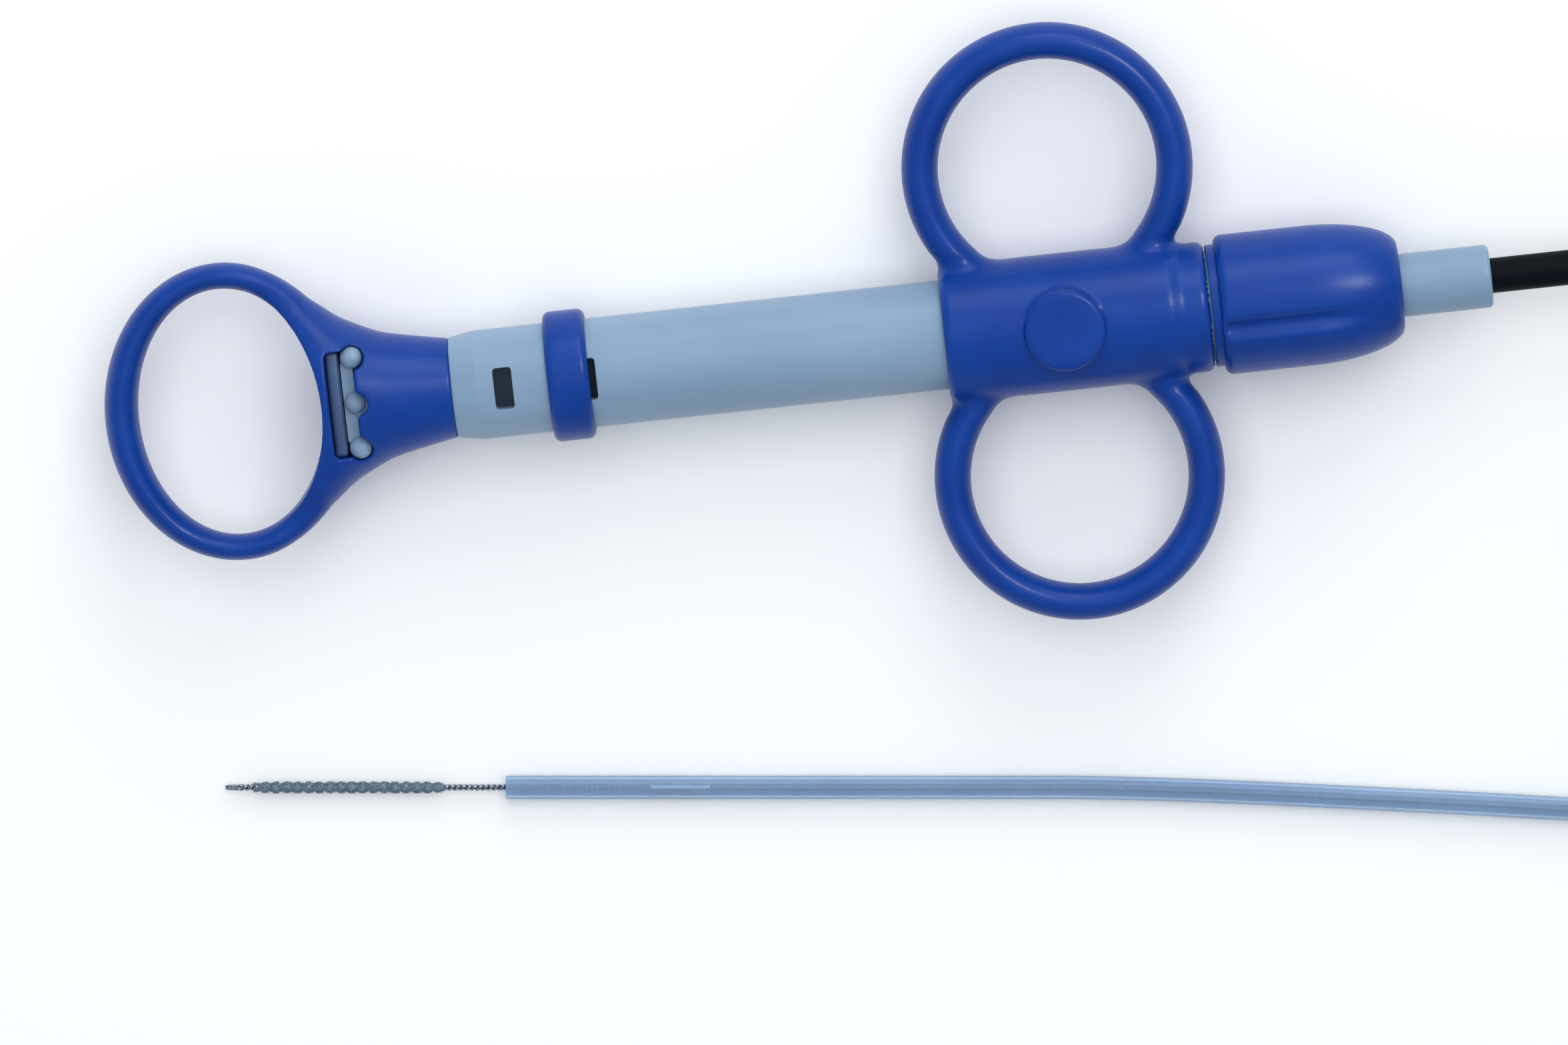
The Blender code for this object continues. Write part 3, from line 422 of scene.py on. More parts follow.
def finely(profile, step=FINE_STEP):
    """The same closed profile with its long stretches cut into short ones."""
    line = []
    for here, ahead in zip(profile, profile[1:] + profile[:1]):
        if here.y == 0.0 and ahead.y == 0.0:
            line.append(here)
            continue
        count = max(1, math.ceil((ahead - here).length / step))
        line += [here.lerp(ahead, k / count) for k in range(count)]
    return line


def turned(name, profile, sides, upright=None, hollow=None):
    """Turn a closed (along, out) profile about the handle's axis, or about an upright line at (x, y).

    hollow(along, out, angle) takes a little off the radius, such as for a flute.
    """
    points, faces, rings = [], [], []
    for along, out in profile:
        ring = []
        for k in range(1 if out == 0.0 else sides):
            angle = 2 * math.pi * k / sides
            radius = out - (hollow(along, out, angle) if hollow else 0.0)
            across, rise = radius * math.sin(angle), radius * math.cos(angle)
            ring.append(len(points))
            if upright is None:
                points.append((along, across, AXIS_HEIGHT + rise))
            else:
                points.append((upright[0] + across, upright[1] + rise, along))
        rings.append(ring)
    for first, second in zip(rings, rings[1:] + rings[:1]):
        for k in range(sides):
            corners = ((first, k), (first, k + 1), (second, k + 1), (second, k))
            face = list(dict.fromkeys(ring[at % len(ring)] for ring, at in corners))
            if len(face) > 2:
                faces.append(face)
    return solid(name, points, faces)


strain_low, strain_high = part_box("strain_relief")
STRAIN_RADIUS = (strain_high.z - strain_low.z) / 2
STRAIN_BORE = 1.4 * MM
black_rubber = finish_of(
    "black_rubber", (11, 16, 24), (6, 10, 16), 3.0 * MM, 0.3 * MM, 0.015 * MM, (0.42, 0.6),
    stretch=(0.06, 1.0, 1.0), Specular_IOR_Level=0.06)
strain_relief = turned("strain_sleeve", finely(rounded([
    (strain_high.x, STRAIN_BORE, 0.05 * MM),
    (strain_high.x, STRAIN_RADIUS, 0.25 * MM),
    (strain_low.x, STRAIN_RADIUS, 0.1 * MM),
    (strain_low.x, STRAIN_BORE, 0.05 * MM),
])), STRAIN_SIDES)
fit(strain_relief, black_rubber, "handle", "black_plastic", "strain_relief")

# The guide tube is one moulding in pale, slightly milky blue plastic. It has a shoulder at the thumb
# ring, two small windows in its front, a long slot in its back and a threaded nose.
# Its tail, with three pegs on a flattened head, is locked in the thumb ring's neck.
TUBE_SIDES = 160
TUBE_RADIUS = 5.45 * MM
TUBE_BORE = 3.75 * MM
TUBE_REAR = -61.3 * MM
TUBE_SHOULDER = 2.5 * MM
SHOULDER_DROP = 0.45 * MM
BORE_REAR = -58.0 * MM
TAIL_RADIUS = 4.0 * MM
TAIL_HEAD_RADIUS = 5.2 * MM
TAIL_HEAD_FRONT = tube_low.x + 1.2 * MM
HEAD_FLAT = 3.4 * MM
NOSE_FROM = 14.9 * MM
NOSE_RADIUS = 4.6 * MM
THREAD_PITCH = 1.25 * MM
THREAD_DEPTH = 0.35 * MM
WINDOW_HEIGHT = 4.2 * MM
WINDOWS = ((-56.1 * MM, 1.9 * MM), (-48.0 * MM, 2.4 * MM))
SLOT_WIDTH = 2.6 * MM
SLOT = (-38.0 * MM, 3.5 * MM)
PEG_RADIUS = 1.15 * MM
PEG_SPACING = 4.55 * MM
PEG_TOP = 4.6 * MM
PEG_ROOT = 1.0 * MM
PEG_SIDES = 40
TUBE_STEP = 0.45 * MM
THREAD = (NOSE_FROM + 2 * MM, tube_high.x - 0.3 * MM)
THREAD_CORE = NOSE_RADIUS - 0.01 * MM
TOOL_ROOM = 1.0 * MM
WELL_ABOVE = 3 * AXIS_HEIGHT


def block(name, low, high, rounding=0.0, steps=3):
    """A block between two corners, its edges rounded."""
    shape = bmesh.new()
    bmesh.ops.create_cube(shape, size=1.0)
    low, high = Vector(low), Vector(high)
    stretch = Matrix.Diagonal((*(high - low), 1.0))
    bmesh.ops.transform(shape, matrix=Matrix.Translation((low + high) / 2) @ stretch, verts=shape.verts)
    if rounding:
        bmesh.ops.bevel(
            shape, geom=shape.edges[:], offset=rounding, segments=steps, profile=0.5, affect="EDGES")
    mesh = bpy.data.meshes.new(name)
    shape.to_mesh(mesh)
    shape.free()
    mesh.shade_smooth()
    made = bpy.data.objects.new(name, mesh)
    bpy.context.scene.collection.objects.link(made)
    return made


def settle(piece):
    """Make what the modifiers show the piece's own mesh."""
    shown = piece.evaluated_get(bpy.context.evaluated_depsgraph_get())
    mesh = bpy.data.meshes.new_from_object(shown)
    piece.modifiers.clear()
    piece.data = mesh


def work(piece, tool, how="DIFFERENCE"):
    """Cut a piece with a tool, or join them into one, and put the tool away."""
    step = piece.modifiers.new(how, "BOOLEAN")
    step.operation = how
    step.solver = "EXACT"
    step.object = tool
    settle(piece)
    bpy.data.objects.remove(tool, do_unlink=True)


def crisp(piece):
    """Shade a cut piece smooth, with its real edges kept sharp."""
    piece.data.shade_smooth()
    piece.data.set_sharp_from_angle(angle=SHARP_FROM_CUT)


def drum(start, end, radius):
    """The profile of a plain round bar."""
    return [Vector((start, 0.0)), Vector((start, radius)), Vector((end, radius)), Vector((end, 0.0))]


def thread(along, out, angle):
    """A fine right-hand thread along the nose, under the nut."""
    if not THREAD[0] < along < THREAD[1] or out < THREAD_CORE:
        return 0.0
    turn = along / THREAD_PITCH - angle / (2 * math.pi)
    return THREAD_DEPTH * abs(2 * (turn - math.floor(turn)) - 1)


tube_profile = finely(rounded([
    (tube_high.x, TUBE_BORE, 0.15 * MM),
    (tube_high.x, NOSE_RADIUS, 0.3 * MM),
    (NOSE_FROM, NOSE_RADIUS, 0.15 * MM),
    (NOSE_FROM, TUBE_RADIUS, 0.2 * MM),
    (TUBE_REAR + TUBE_SHOULDER, TUBE_RADIUS, 0.8 * MM),
    (TUBE_REAR, TUBE_RADIUS - SHOULDER_DROP, 0.3 * MM),
    (TUBE_REAR, TAIL_RADIUS, 0.15 * MM),
    (TAIL_HEAD_FRONT, TAIL_RADIUS, 0.1 * MM),
    (TAIL_HEAD_FRONT, TAIL_HEAD_RADIUS, 0.2 * MM),
    (tube_low.x, TAIL_HEAD_RADIUS, 0.2 * MM),
    (tube_low.x, 0.0, 0.0),
    (BORE_REAR, 0.0, 0.0),
    (BORE_REAR, TUBE_BORE, 0.4 * MM),
]), TUBE_STEP)
guide_tube = turned("guide_tube_moulding", tube_profile, TUBE_SIDES, hollow=thread)
for at, length in WINDOWS:
    work(guide_tube, block(
        "window_tool", (at - length / 2, -WINDOW_HEIGHT / 2, AXIS_HEIGHT + TUBE_BORE / 2),
        (at + length / 2, WINDOW_HEIGHT / 2, AXIS_HEIGHT + 2 * TUBE_RADIUS), 0.35 * MM))
work(guide_tube, block(
    "slot_tool", (SLOT[0], -SLOT_WIDTH / 2, -TUBE_RADIUS),
    (SLOT[1], SLOT_WIDTH / 2, AXIS_HEIGHT - TUBE_BORE / 2), 0.5 * MM))
work(guide_tube, block(
    "head_tool", (tube_low.x - TOOL_ROOM, -2 * TUBE_RADIUS, AXIS_HEIGHT + HEAD_FLAT),
    (TAIL_HEAD_FRONT, 2 * TUBE_RADIUS, WELL_ABOVE)))
for side in (-1, 0, 1):
    peg = turned("peg", finely(rounded([
        (AXIS_HEIGHT - PEG_ROOT, 0.0, 0.0),
        (AXIS_HEIGHT - PEG_ROOT, PEG_RADIUS, 0.0),
        (AXIS_HEIGHT + PEG_TOP, PEG_RADIUS, 1.1 * MM),
        (AXIS_HEIGHT + PEG_TOP, 0.0, 0.0),
    ])), PEG_SIDES, upright=(TAIL_HEAD_FRONT, side * PEG_SPACING))
    work(guide_tube, peg, "UNION")
crisp(guide_tube)
pale_plastic = finish_of(
    "pale_plastic", (138, 164, 189), (124, 151, 177), 7.0 * MM, 0.35 * MM, 0.012 * MM, (0.36, 0.5),
    stretch=(0.25, 1.0, 1.0), Subsurface_Weight=0.4, Subsurface_Scale=1.6 * MM,
    Subsurface_Radius=(0.6, 0.8, 1.0), Specular_IOR_Level=0.4)
fit(guide_tube, pale_plastic, "handle", "pale_plastic", "guide_tube")

# The thumb ring is a thick oval band with a trumpet-shaped neck, one moulding in blue plastic.
# A window in the neck shows the tube's three pegs, and its front edge follows them in scallops.
THUMB_CENTRE = -83.6 * MM
THUMB_OUTER = (12.6 * MM, 15.0 * MM)
THUMB_HOLE = (9.2 * MM, 12.4 * MM)
THUMB_DEPTH_RATIO = 1.75
THUMB_STEPS = 120
BAND_SIDES = 32
NECK_FRONT = -61.3 * MM
# The neck's sections in millimetres: distance behind its front, half height and half depth
NECK_SECTIONS = (
    (0.0, 5.0, 5.0), (0.7, 5.1, 5.1), (4.7, 5.9, 5.7), (6.7, 6.4, 6.0), (8.7, 7.3, 6.3),
    (10.7, 8.4, 6.5), (12.7, 10.0, 6.2), (14.7, 11.5, 5.3), (16.7, 12.7, 4.2), (18.7, 13.6, 3.2),
)
NECK_SIDES = 72
NECK_STEP = 0.7 * MM
FIT = 0.15 * MM
TAIL_TOOL_SIDES = 96
HOLE_TOOL_ROOM = 0.1 * MM
HOLE_TOOL_HEIGHTS = (-20 * MM, 40 * MM)
WINDOW_FRONT = TAIL_HEAD_FRONT + FIT
WINDOW_REAR = WINDOW_FRONT - 2.8 * MM
NECK_WINDOW_HALF = 5.35 * MM
WINDOW_FLOOR = AXIS_HEIGHT - 4.8 * MM
SCALLOP_RADIUS = PEG_RADIUS + 0.08 * MM
SCALLOP_FLOOR = AXIS_HEIGHT - 1.15 * MM
SCALLOP_SIDES = 48
RING_VOXEL = 0.21 * MM
RING_EASING = 8
# The corner between neck and band, in millimetres, and how far round it the fillet reaches
NECK_CORNER = (-77.5, 12.6)
CORNER_REACH = 2.0
CORNER_STRENGTH = 1.4
CORNER_EASING = 60
EASE = 0.5
EASE_BACK = -0.52


def oval_bar(name, centre, reach, limb, depth_ratio, steps, sides):
    """A closed bar round an oval: reach and limb are half sizes along x and y, at its middle line."""
    points, faces = [], []
    for i in range(steps):
        angle = 2 * math.pi * i / steps
        middle = Vector((reach[0] * math.cos(angle), reach[1] * math.sin(angle), 0.0))
        outward = Vector((reach[1] * math.cos(angle), reach[0] * math.sin(angle), 0.0)).normalized()
        share = math.cos(angle) ** 2
        thick = limb[0] * share + limb[1] * (1 - share)
        for k in range(sides):
            turn = 2 * math.pi * k / sides
            rise = Vector((0.0, 0.0, depth_ratio * thick * math.sin(turn)))
            points.append(centre + middle + outward * thick * math.cos(turn) + rise)
        faces += belt(i * sides, (i + 1) % steps * sides, sides)
    return solid(name, points, faces)


def soften(piece, rounds, share=None, keep_size=True):
    """Ease a surface point by point towards its neighbours, all over or where share says."""
    mesh = piece.data
    count = len(mesh.vertices)
    points = np.empty(count * 3)
    mesh.vertices.foreach_get("co", points)
    points = points.reshape(-1, 3)
    edges = np.empty(len(mesh.edges) * 2, int)
    mesh.edges.foreach_get("vertices", edges)
    first, second = edges.reshape(-1, 2).T
    degree = np.bincount(edges, minlength=count)[:, None]
    weight = share(points)[:, None] if share else 1.0
    for number in range(rounds):
        total = np.stack([
            np.bincount(first, points[second, k], count) + np.bincount(second, points[first, k], count)
            for k in range(3)], axis=1)
        push = EASE_BACK if keep_size and number % 2 else EASE
        points += push * weight * (total / degree - points)
    mesh.vertices.foreach_set("co", points.ravel())
    mesh.update()


def moulded(piece, voxel, rounds):
    """Turn a joined shape into one even skin, with the slightly soft edges of a moulding."""
    step = piece.modifiers.new("skin", "REMESH")
    step.mode = "VOXEL"
    step.voxel_size = voxel
    step.use_smooth_shade = True
    settle(piece)
    soften(piece, rounds)


neck_points, neck_faces = [], []
neck_rows = through([Vector(section) * MM for section in NECK_SECTIONS], NECK_STEP)
for back, half_height, half_depth in neck_rows:
    for k in range(NECK_SIDES):
        angle = 2 * math.pi * k / NECK_SIDES
        neck_points.append((
            NECK_FRONT - back, half_height * math.cos(angle), AXIS_HEIGHT + half_depth * math.sin(angle)))
for i in range(len(neck_rows) - 1):
    neck_faces += belt(i * NECK_SIDES, (i + 1) * NECK_SIDES, NECK_SIDES)
neck_faces.append(tuple(range(NECK_SIDES)))
neck_faces.append(tuple((len(neck_rows) - 1) * NECK_SIDES + k for k in range(NECK_SIDES)))
thumb_ring = solid("thumb_ring_moulding", neck_points, neck_faces)
hole_rim = []
for height in HOLE_TOOL_HEIGHTS:
    for i in range(THUMB_STEPS):
        angle = 2 * math.pi * i / THUMB_STEPS
        hole_rim.append((
            THUMB_CENTRE + (THUMB_HOLE[0] + HOLE_TOOL_ROOM) * math.cos(angle),
            (THUMB_HOLE[1] + HOLE_TOOL_ROOM) * math.sin(angle), height))
hole_faces = [tuple(range(THUMB_STEPS)), tuple(range(THUMB_STEPS, 2 * THUMB_STEPS))]
hole_faces += belt(0, THUMB_STEPS, THUMB_STEPS)
work(thumb_ring, solid("hole_tool", hole_rim, hole_faces))
band_reach = [(outer + hole) / 2 for outer, hole in zip(THUMB_OUTER, THUMB_HOLE)]
band_limb = [(outer - hole) / 2 for outer, hole in zip(THUMB_OUTER, THUMB_HOLE)]
work(thumb_ring, oval_bar(
    "band", Vector((THUMB_CENTRE, 0.0, AXIS_HEIGHT)), band_reach, band_limb, THUMB_DEPTH_RATIO,
    THUMB_STEPS, BAND_SIDES), "UNION")
work(thumb_ring, turned("tail_tool", [
    Vector((NECK_FRONT + TOOL_ROOM, 0.0)), Vector((NECK_FRONT + TOOL_ROOM, TAIL_RADIUS + FIT)),
    Vector((WINDOW_FRONT, TAIL_RADIUS + FIT)), Vector((WINDOW_FRONT, TAIL_HEAD_RADIUS + FIT)),
    Vector((tube_low.x - FIT, TAIL_HEAD_RADIUS + FIT)), Vector((tube_low.x - FIT, 0.0)),
], TAIL_TOOL_SIDES))
work(thumb_ring, block(
    "neck_window_tool", (WINDOW_REAR, -NECK_WINDOW_HALF, WINDOW_FLOOR),
    (WINDOW_FRONT, NECK_WINDOW_HALF, WELL_ABOVE), 0.5 * MM))
for side in (-1, 0, 1):
    work(thumb_ring, turned(
        "scallop_tool", drum(SCALLOP_FLOOR, WELL_ABOVE, SCALLOP_RADIUS), SCALLOP_SIDES,
        upright=(TAIL_HEAD_FRONT, side * PEG_SPACING)))
moulded(thumb_ring, RING_VOXEL, RING_EASING)


def neck_root(points):
    """How near a point of the thumb ring is to the corner between its neck and its band."""
    along, across = points[:, 0] / MM - NECK_CORNER[0], np.abs(points[:, 1]) / MM - NECK_CORNER[1]
    near = np.exp(-(along ** 2 + across ** 2) / (2 * CORNER_REACH ** 2))
    return np.clip(near * CORNER_STRENGTH, 0.0, 1.0)


soften(thumb_ring, CORNER_EASING, neck_root, keep_size=False)
blue_plastic = finish_of(
    "blue_plastic", (9, 62, 149), (6, 54, 138), 6.0 * MM, 0.3 * MM, 0.008 * MM, (0.27, 0.39),
    Specular_IOR_Level=0.21, Subsurface_Weight=0.06, Subsurface_Scale=0.4 * MM)
fit(thumb_ring, blue_plastic, "handle", "blue_plastic", "thumb_ring")

# The tail key is a small grey bar, pushed into the neck's window behind the tube's head.
# It keeps the tail from turning, and it is stamped from dull metal with eased edges.
key_low, key_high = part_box("tail_key")
KEY_FIT = Vector((0.1, 0.1, 0.0)) * MM
KEY_ROUND = 0.4 * MM
KEY_ROUND_STEPS = 5
tail_key = block("tail_key_bar", key_low - KEY_FIT, key_high + KEY_FIT, KEY_ROUND, KEY_ROUND_STEPS)
dull_steel = finish_of(
    "dull_steel", (76, 100, 138), (60, 84, 122), 1.5 * MM, 0.12 * MM, 0.01 * MM, (0.35, 0.5),
    stretch=(1.0, 0.15, 1.0), Metallic=0.3)
fit(tail_key, dull_steel, "handle", "grey_steel", "tail_key")

# The stop ring is a short blue ring, snapped over the tube so that a small dog on its inside
# sits in the tube's front window. Its edges are well rounded.
STOP_SIDES = 160
stop_low, stop_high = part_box("stop_ring")
STOP_RADIUS = (stop_high.z - stop_low.z) / 2
STOP_BORE = TUBE_RADIUS + FIT
DOG_HALF_WIDTH = 1.5 * MM
DOG_FLOOR = AXIS_HEIGHT + TUBE_RADIUS - 1.1 * MM
DOG_TOP = AXIS_HEIGHT + STOP_BORE + 0.3 * MM
DOG_FRONT = stop_high.x - 0.4 * MM
stop_ring = turned("stop_ring_moulding", finely(rounded([
    (stop_high.x, STOP_BORE, 0.1 * MM),
    (stop_high.x, STOP_RADIUS, 0.75 * MM),
    (stop_low.x, STOP_RADIUS, 0.75 * MM),
    (stop_low.x, STOP_BORE, 0.1 * MM),
])), STOP_SIDES)
dog_at, dog_length = WINDOWS[1]
work(stop_ring, block(
    "dog", (dog_at - dog_length / 2 + FIT, -DOG_HALF_WIDTH, DOG_FLOOR),
    (DOG_FRONT, DOG_HALF_WIDTH, DOG_TOP)), "UNION")
crisp(stop_ring)
fit(stop_ring, blue_plastic, "handle", "blue_plastic", "stop_ring")

# The finger spool is a barrel that slides on the guide tube, with a ring for a finger on each side
# and a round boss on its front and back. It is one blue moulding, and soft fillets join the rings to it.
SPOOL_SIDES = 144
SPOOL_REAR = -12.0 * MM
SPOOL_FRONT = 14.6 * MM
SPOOL_RADIUS = 6.9 * MM
SPOOL_COLLAR = 2.7 * MM
COLLAR_TAPER = 1.2 * MM
SPOOL_COLLAR_RADIUS = 6.5 * MM
SPOOL_BORE = TUBE_RADIUS + 0.3 * MM
RING_OFFSET = 15.6 * MM
RING_OUTER = 14.53 * MM
RING_HOLE = 10.87 * MM
RING_DEPTH_RATIO = 1.45
RING_STEPS = 144
BOSS_RADIUS = 4.05 * MM
BOSS_TOP = 6.75 * MM
BOSS_SIDES = 72
BOSS_TOOL_RADIUS = BOSS_RADIUS + 0.12 * MM
BOSS_TOOL_SIDES = 76
BORE_TOOL_SIDES = 150
SPIGOT_RADIUS = 1.6 * MM
SPIGOT_TOOL_SIDES = 40
# The pocket for the carrier's leg: its half sizes along and across, and its floor
LEG_POCKET = (3.15 * MM, 1.15 * MM)
LEG_POCKET_FLOOR = AXIS_HEIGHT - BOSS_TOP - 0.3 * MM
SPOOL_VOXEL = 0.235 * MM
SPOOL_EASING = 14
FILLET = 1.5 * MM
FILLET_STRENGTH = 1.5
FILLET_EASING = 70
BORE_KEPT = SPOOL_BORE + 0.4 * MM

finger_spool = turned("finger_spool_moulding", finely(rounded([
    (SPOOL_FRONT, 0.0, 0.0),
    (SPOOL_FRONT, SPOOL_COLLAR_RADIUS, 0.8 * MM),
    (SPOOL_FRONT - SPOOL_COLLAR, SPOOL_COLLAR_RADIUS, 0.6 * MM),
    (SPOOL_FRONT - SPOOL_COLLAR - COLLAR_TAPER, SPOOL_RADIUS, 0.6 * MM),
    (SPOOL_REAR, SPOOL_RADIUS, 0.7 * MM),
    (SPOOL_REAR, 0.0, 0.0),
])), SPOOL_SIDES)
ring_middle = (RING_OUTER + RING_HOLE) / 2
ring_limb = (RING_OUTER - RING_HOLE) / 2
for side in (1, -1):
    work(finger_spool, oval_bar(
        "ring", Vector((0.0, side * RING_OFFSET, AXIS_HEIGHT)), (ring_middle, ring_middle),
        (ring_limb, ring_limb), RING_DEPTH_RATIO, RING_STEPS, BAND_SIDES), "UNION")
work(finger_spool, turned(
    "boss", finely(drum(AXIS_HEIGHT - BOSS_TOP, AXIS_HEIGHT + BOSS_TOP, BOSS_RADIUS)), BOSS_SIDES,
    upright=(0.0, 0.0)), "UNION")
for low, high in ((AXIS_HEIGHT + BOSS_TOP, WELL_ABOVE), (-AXIS_HEIGHT, AXIS_HEIGHT - BOSS_TOP)):
    work(finger_spool, turned(
        "facing_tool", drum(low, high, BOSS_TOOL_RADIUS), BOSS_TOOL_SIDES, upright=(0.0, 0.0)))
work(finger_spool, turned(
    "bore_tool", drum(SPOOL_FRONT + TOOL_ROOM, SPOOL_REAR - TOOL_ROOM, SPOOL_BORE), BORE_TOOL_SIDES))
work(finger_spool, turned(
    "spigot_tool", drum(-AXIS_HEIGHT, WELL_ABOVE, SPIGOT_RADIUS + FIT), SPIGOT_TOOL_SIDES,
    upright=(0.0, 0.0)))
work(finger_spool, block(
    "leg_tool", (-LEG_POCKET[0], -LEG_POCKET[1], LEG_POCKET_FLOOR), (*LEG_POCKET, AXIS_HEIGHT)))
moulded(finger_spool, SPOOL_VOXEL, SPOOL_EASING)


def ring_roots(points):
    """How near a point of the spool is to the corner between a finger ring and the barrel."""
    x, y, z = points[:, 0], np.abs(points[:, 1]), points[:, 2] - AXIS_HEIGHT
    out = np.hypot(x, y - RING_OFFSET) - ring_middle
    from_ring = np.abs(np.hypot(out, z / RING_DEPTH_RATIO) - ring_limb)
    from_barrel = np.abs(np.hypot(y, z) - SPOOL_RADIUS)
    near = 1.0 - np.hypot(from_ring, from_barrel) / FILLET
    inside = np.hypot(y, z) < BORE_KEPT
    return np.where(inside, 0.0, np.clip(near * FILLET_STRENGTH, 0.0, 1.0))


soften(finger_spool, FILLET_EASING, ring_roots, keep_size=False)
fit(finger_spool, blue_plastic, "spool", "blue_plastic", "finger_spool")

# Each boss is closed by a round cap with a soft rim, a snap fit in the same blue plastic.
# The back one is the flat that the handle lies on.
CAP_SIDES = 96
CAP_THICK = 0.7 * MM
CAP_REACH = 1.5 * MM
for name, side in (("boss_cap_front", 1), ("boss_cap_back", -1)):
    cap = turned(name + "_disc", finely(rounded([
        (AXIS_HEIGHT + side * AXIS_HEIGHT, 0.0, 0.0),
        (AXIS_HEIGHT + side * AXIS_HEIGHT, BOSS_RADIUS, 0.55 * MM),
        (AXIS_HEIGHT + side * (AXIS_HEIGHT - CAP_THICK), BOSS_RADIUS, 0.1 * MM),
        (AXIS_HEIGHT + side * (AXIS_HEIGHT - CAP_THICK), SPIGOT_RADIUS, 0.1 * MM),
        (AXIS_HEIGHT + side * (AXIS_HEIGHT - CAP_REACH), SPIGOT_RADIUS, 0.2 * MM),
        (AXIS_HEIGHT + side * (AXIS_HEIGHT - CAP_REACH), 0.0, 0.0),
    ])), CAP_SIDES, upright=(0.0, 0.0))
    fit(cap, blue_plastic, "spool", "blue_plastic", name)

# The collet nut screws onto the tube's nose and holds the hub. It is blue, with a round nose,
# and three shallow flutes give the fingers a grip.
NUT_SIDES = 288
nut_low, nut_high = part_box("collet_nut")
NUT_RADIUS = 7.0 * MM
NUT_TAPER_FROM = 24.5 * MM
NUT_FRONT_RADIUS = 4.1 * MM
NUT_BORE = 4.75 * MM
SKIRT_RADIUS = 6.1 * MM
SKIRT_REAR = nut_low.x - 0.3 * MM
SKIRT_BORE = TUBE_RADIUS + 0.12 * MM
NUT_REAR = 15.6 * MM
NUT_MOUTH = 3.3 * MM
NUT_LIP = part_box("nose_hub")[0].x + 2.15 * MM
NUT_STEP = 0.35 * MM
NOSE_STEPS = 24
FLUTES = 3
FLUTE_TILT = math.radians(-15.0)
FLUTE_HALF = 1.5 * MM
FLUTE_DEPTH = 0.75 * MM
FLUTE = (15.4 * MM, 31.6 * MM)
# How much of a flute's length its two ends take to run out
FLUTE_ENDS = (0.06, 0.35)
FLUTE_FLOOR = NUT_BORE + 0.2 * MM


def flutes(along, out, angle):
    """Three shallow grooves, short-ended at the nut's back and running out on its nose."""
    if out < FLUTE_FLOOR or not FLUTE[0] < along < FLUTE[1]:
        return 0.0
    third = 2 * math.pi / FLUTES
    off = (angle - FLUTE_TILT + third / 2) % third - third / 2
    aside = abs(off) * out / FLUTE_HALF
    if aside >= 1.0:
        return 0.0
    share = (along - FLUTE[0]) / (FLUTE[1] - FLUTE[0])
    ends = min(1.0, share / FLUTE_ENDS[0]) * min(1.0, (1 - share) / FLUTE_ENDS[1])
    return FLUTE_DEPTH * eased(ends) * math.cos(aside * math.pi / 2) ** 2


nut_nose = []
for i in range(NOSE_STEPS + 1):
    turn = math.pi / 2 * (1 - i / NOSE_STEPS)
    nut_nose.append(Vector((
        NUT_TAPER_FROM + (nut_high.x - NUT_TAPER_FROM) * math.sin(turn),
        NUT_FRONT_RADIUS + (NUT_RADIUS - NUT_FRONT_RADIUS) * math.cos(turn))))
nut_back = rounded([
    (NUT_TAPER_FROM, NUT_RADIUS, 0.0),
    (NUT_REAR, NUT_RADIUS, 0.8 * MM),
    (NUT_REAR, SKIRT_RADIUS, 0.05 * MM),
    (SKIRT_REAR, SKIRT_RADIUS, 0.1 * MM),
    (SKIRT_REAR, SKIRT_BORE, 0.1 * MM),
    (nut_low.x, SKIRT_BORE, 0.0),
    (nut_low.x, NUT_BORE, 0.1 * MM),
    (NUT_LIP, NUT_BORE, 0.1 * MM),
    (NUT_LIP, NUT_MOUTH, 0.1 * MM),
    (nut_high.x, NUT_MOUTH, 0.1 * MM),
])
collet_nut = turned(
    "collet_nut_moulding", finely(nut_nose + nut_back[1:], NUT_STEP), NUT_SIDES, hollow=flutes)
fit(collet_nut, blue_plastic, "handle", "blue_plastic", "collet_nut")

# The nose hub is the pale stub that shows in front of the nut. Its flange is held inside the nut,
# and its open front end takes the black sleeve.
HUB_SIDES = 144
hub_low, hub_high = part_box("nose_hub")
HUB_FLANGE_RADIUS = (hub_high.z - hub_low.z) / 2
HUB_SHOULDER = hub_low.x + 2.0 * MM
STUB_RADIUS = 3.15 * MM
STUB_SOCKET = 1.9 * MM
SOCKET_FLOOR = HUB_SHOULDER + 0.3 * MM
nose_hub = turned("nose_hub_moulding", finely(rounded([
    (hub_high.x, STUB_SOCKET, 0.12 * MM),
    (hub_high.x, STUB_RADIUS, 0.45 * MM),
    (HUB_SHOULDER, STUB_RADIUS, 0.1 * MM),
    (HUB_SHOULDER, HUB_FLANGE_RADIUS, 0.2 * MM),
    (hub_low.x, HUB_FLANGE_RADIUS, 0.2 * MM),
    (hub_low.x, SHEATH_BORE, 0.1 * MM),
    (SOCKET_FLOOR, SHEATH_BORE, 0.05 * MM),
    (SOCKET_FLOOR, STUB_SOCKET, 0.1 * MM),
])), HUB_SIDES)
fit(nose_hub, pale_plastic, "handle", "pale_plastic", "nose_hub")

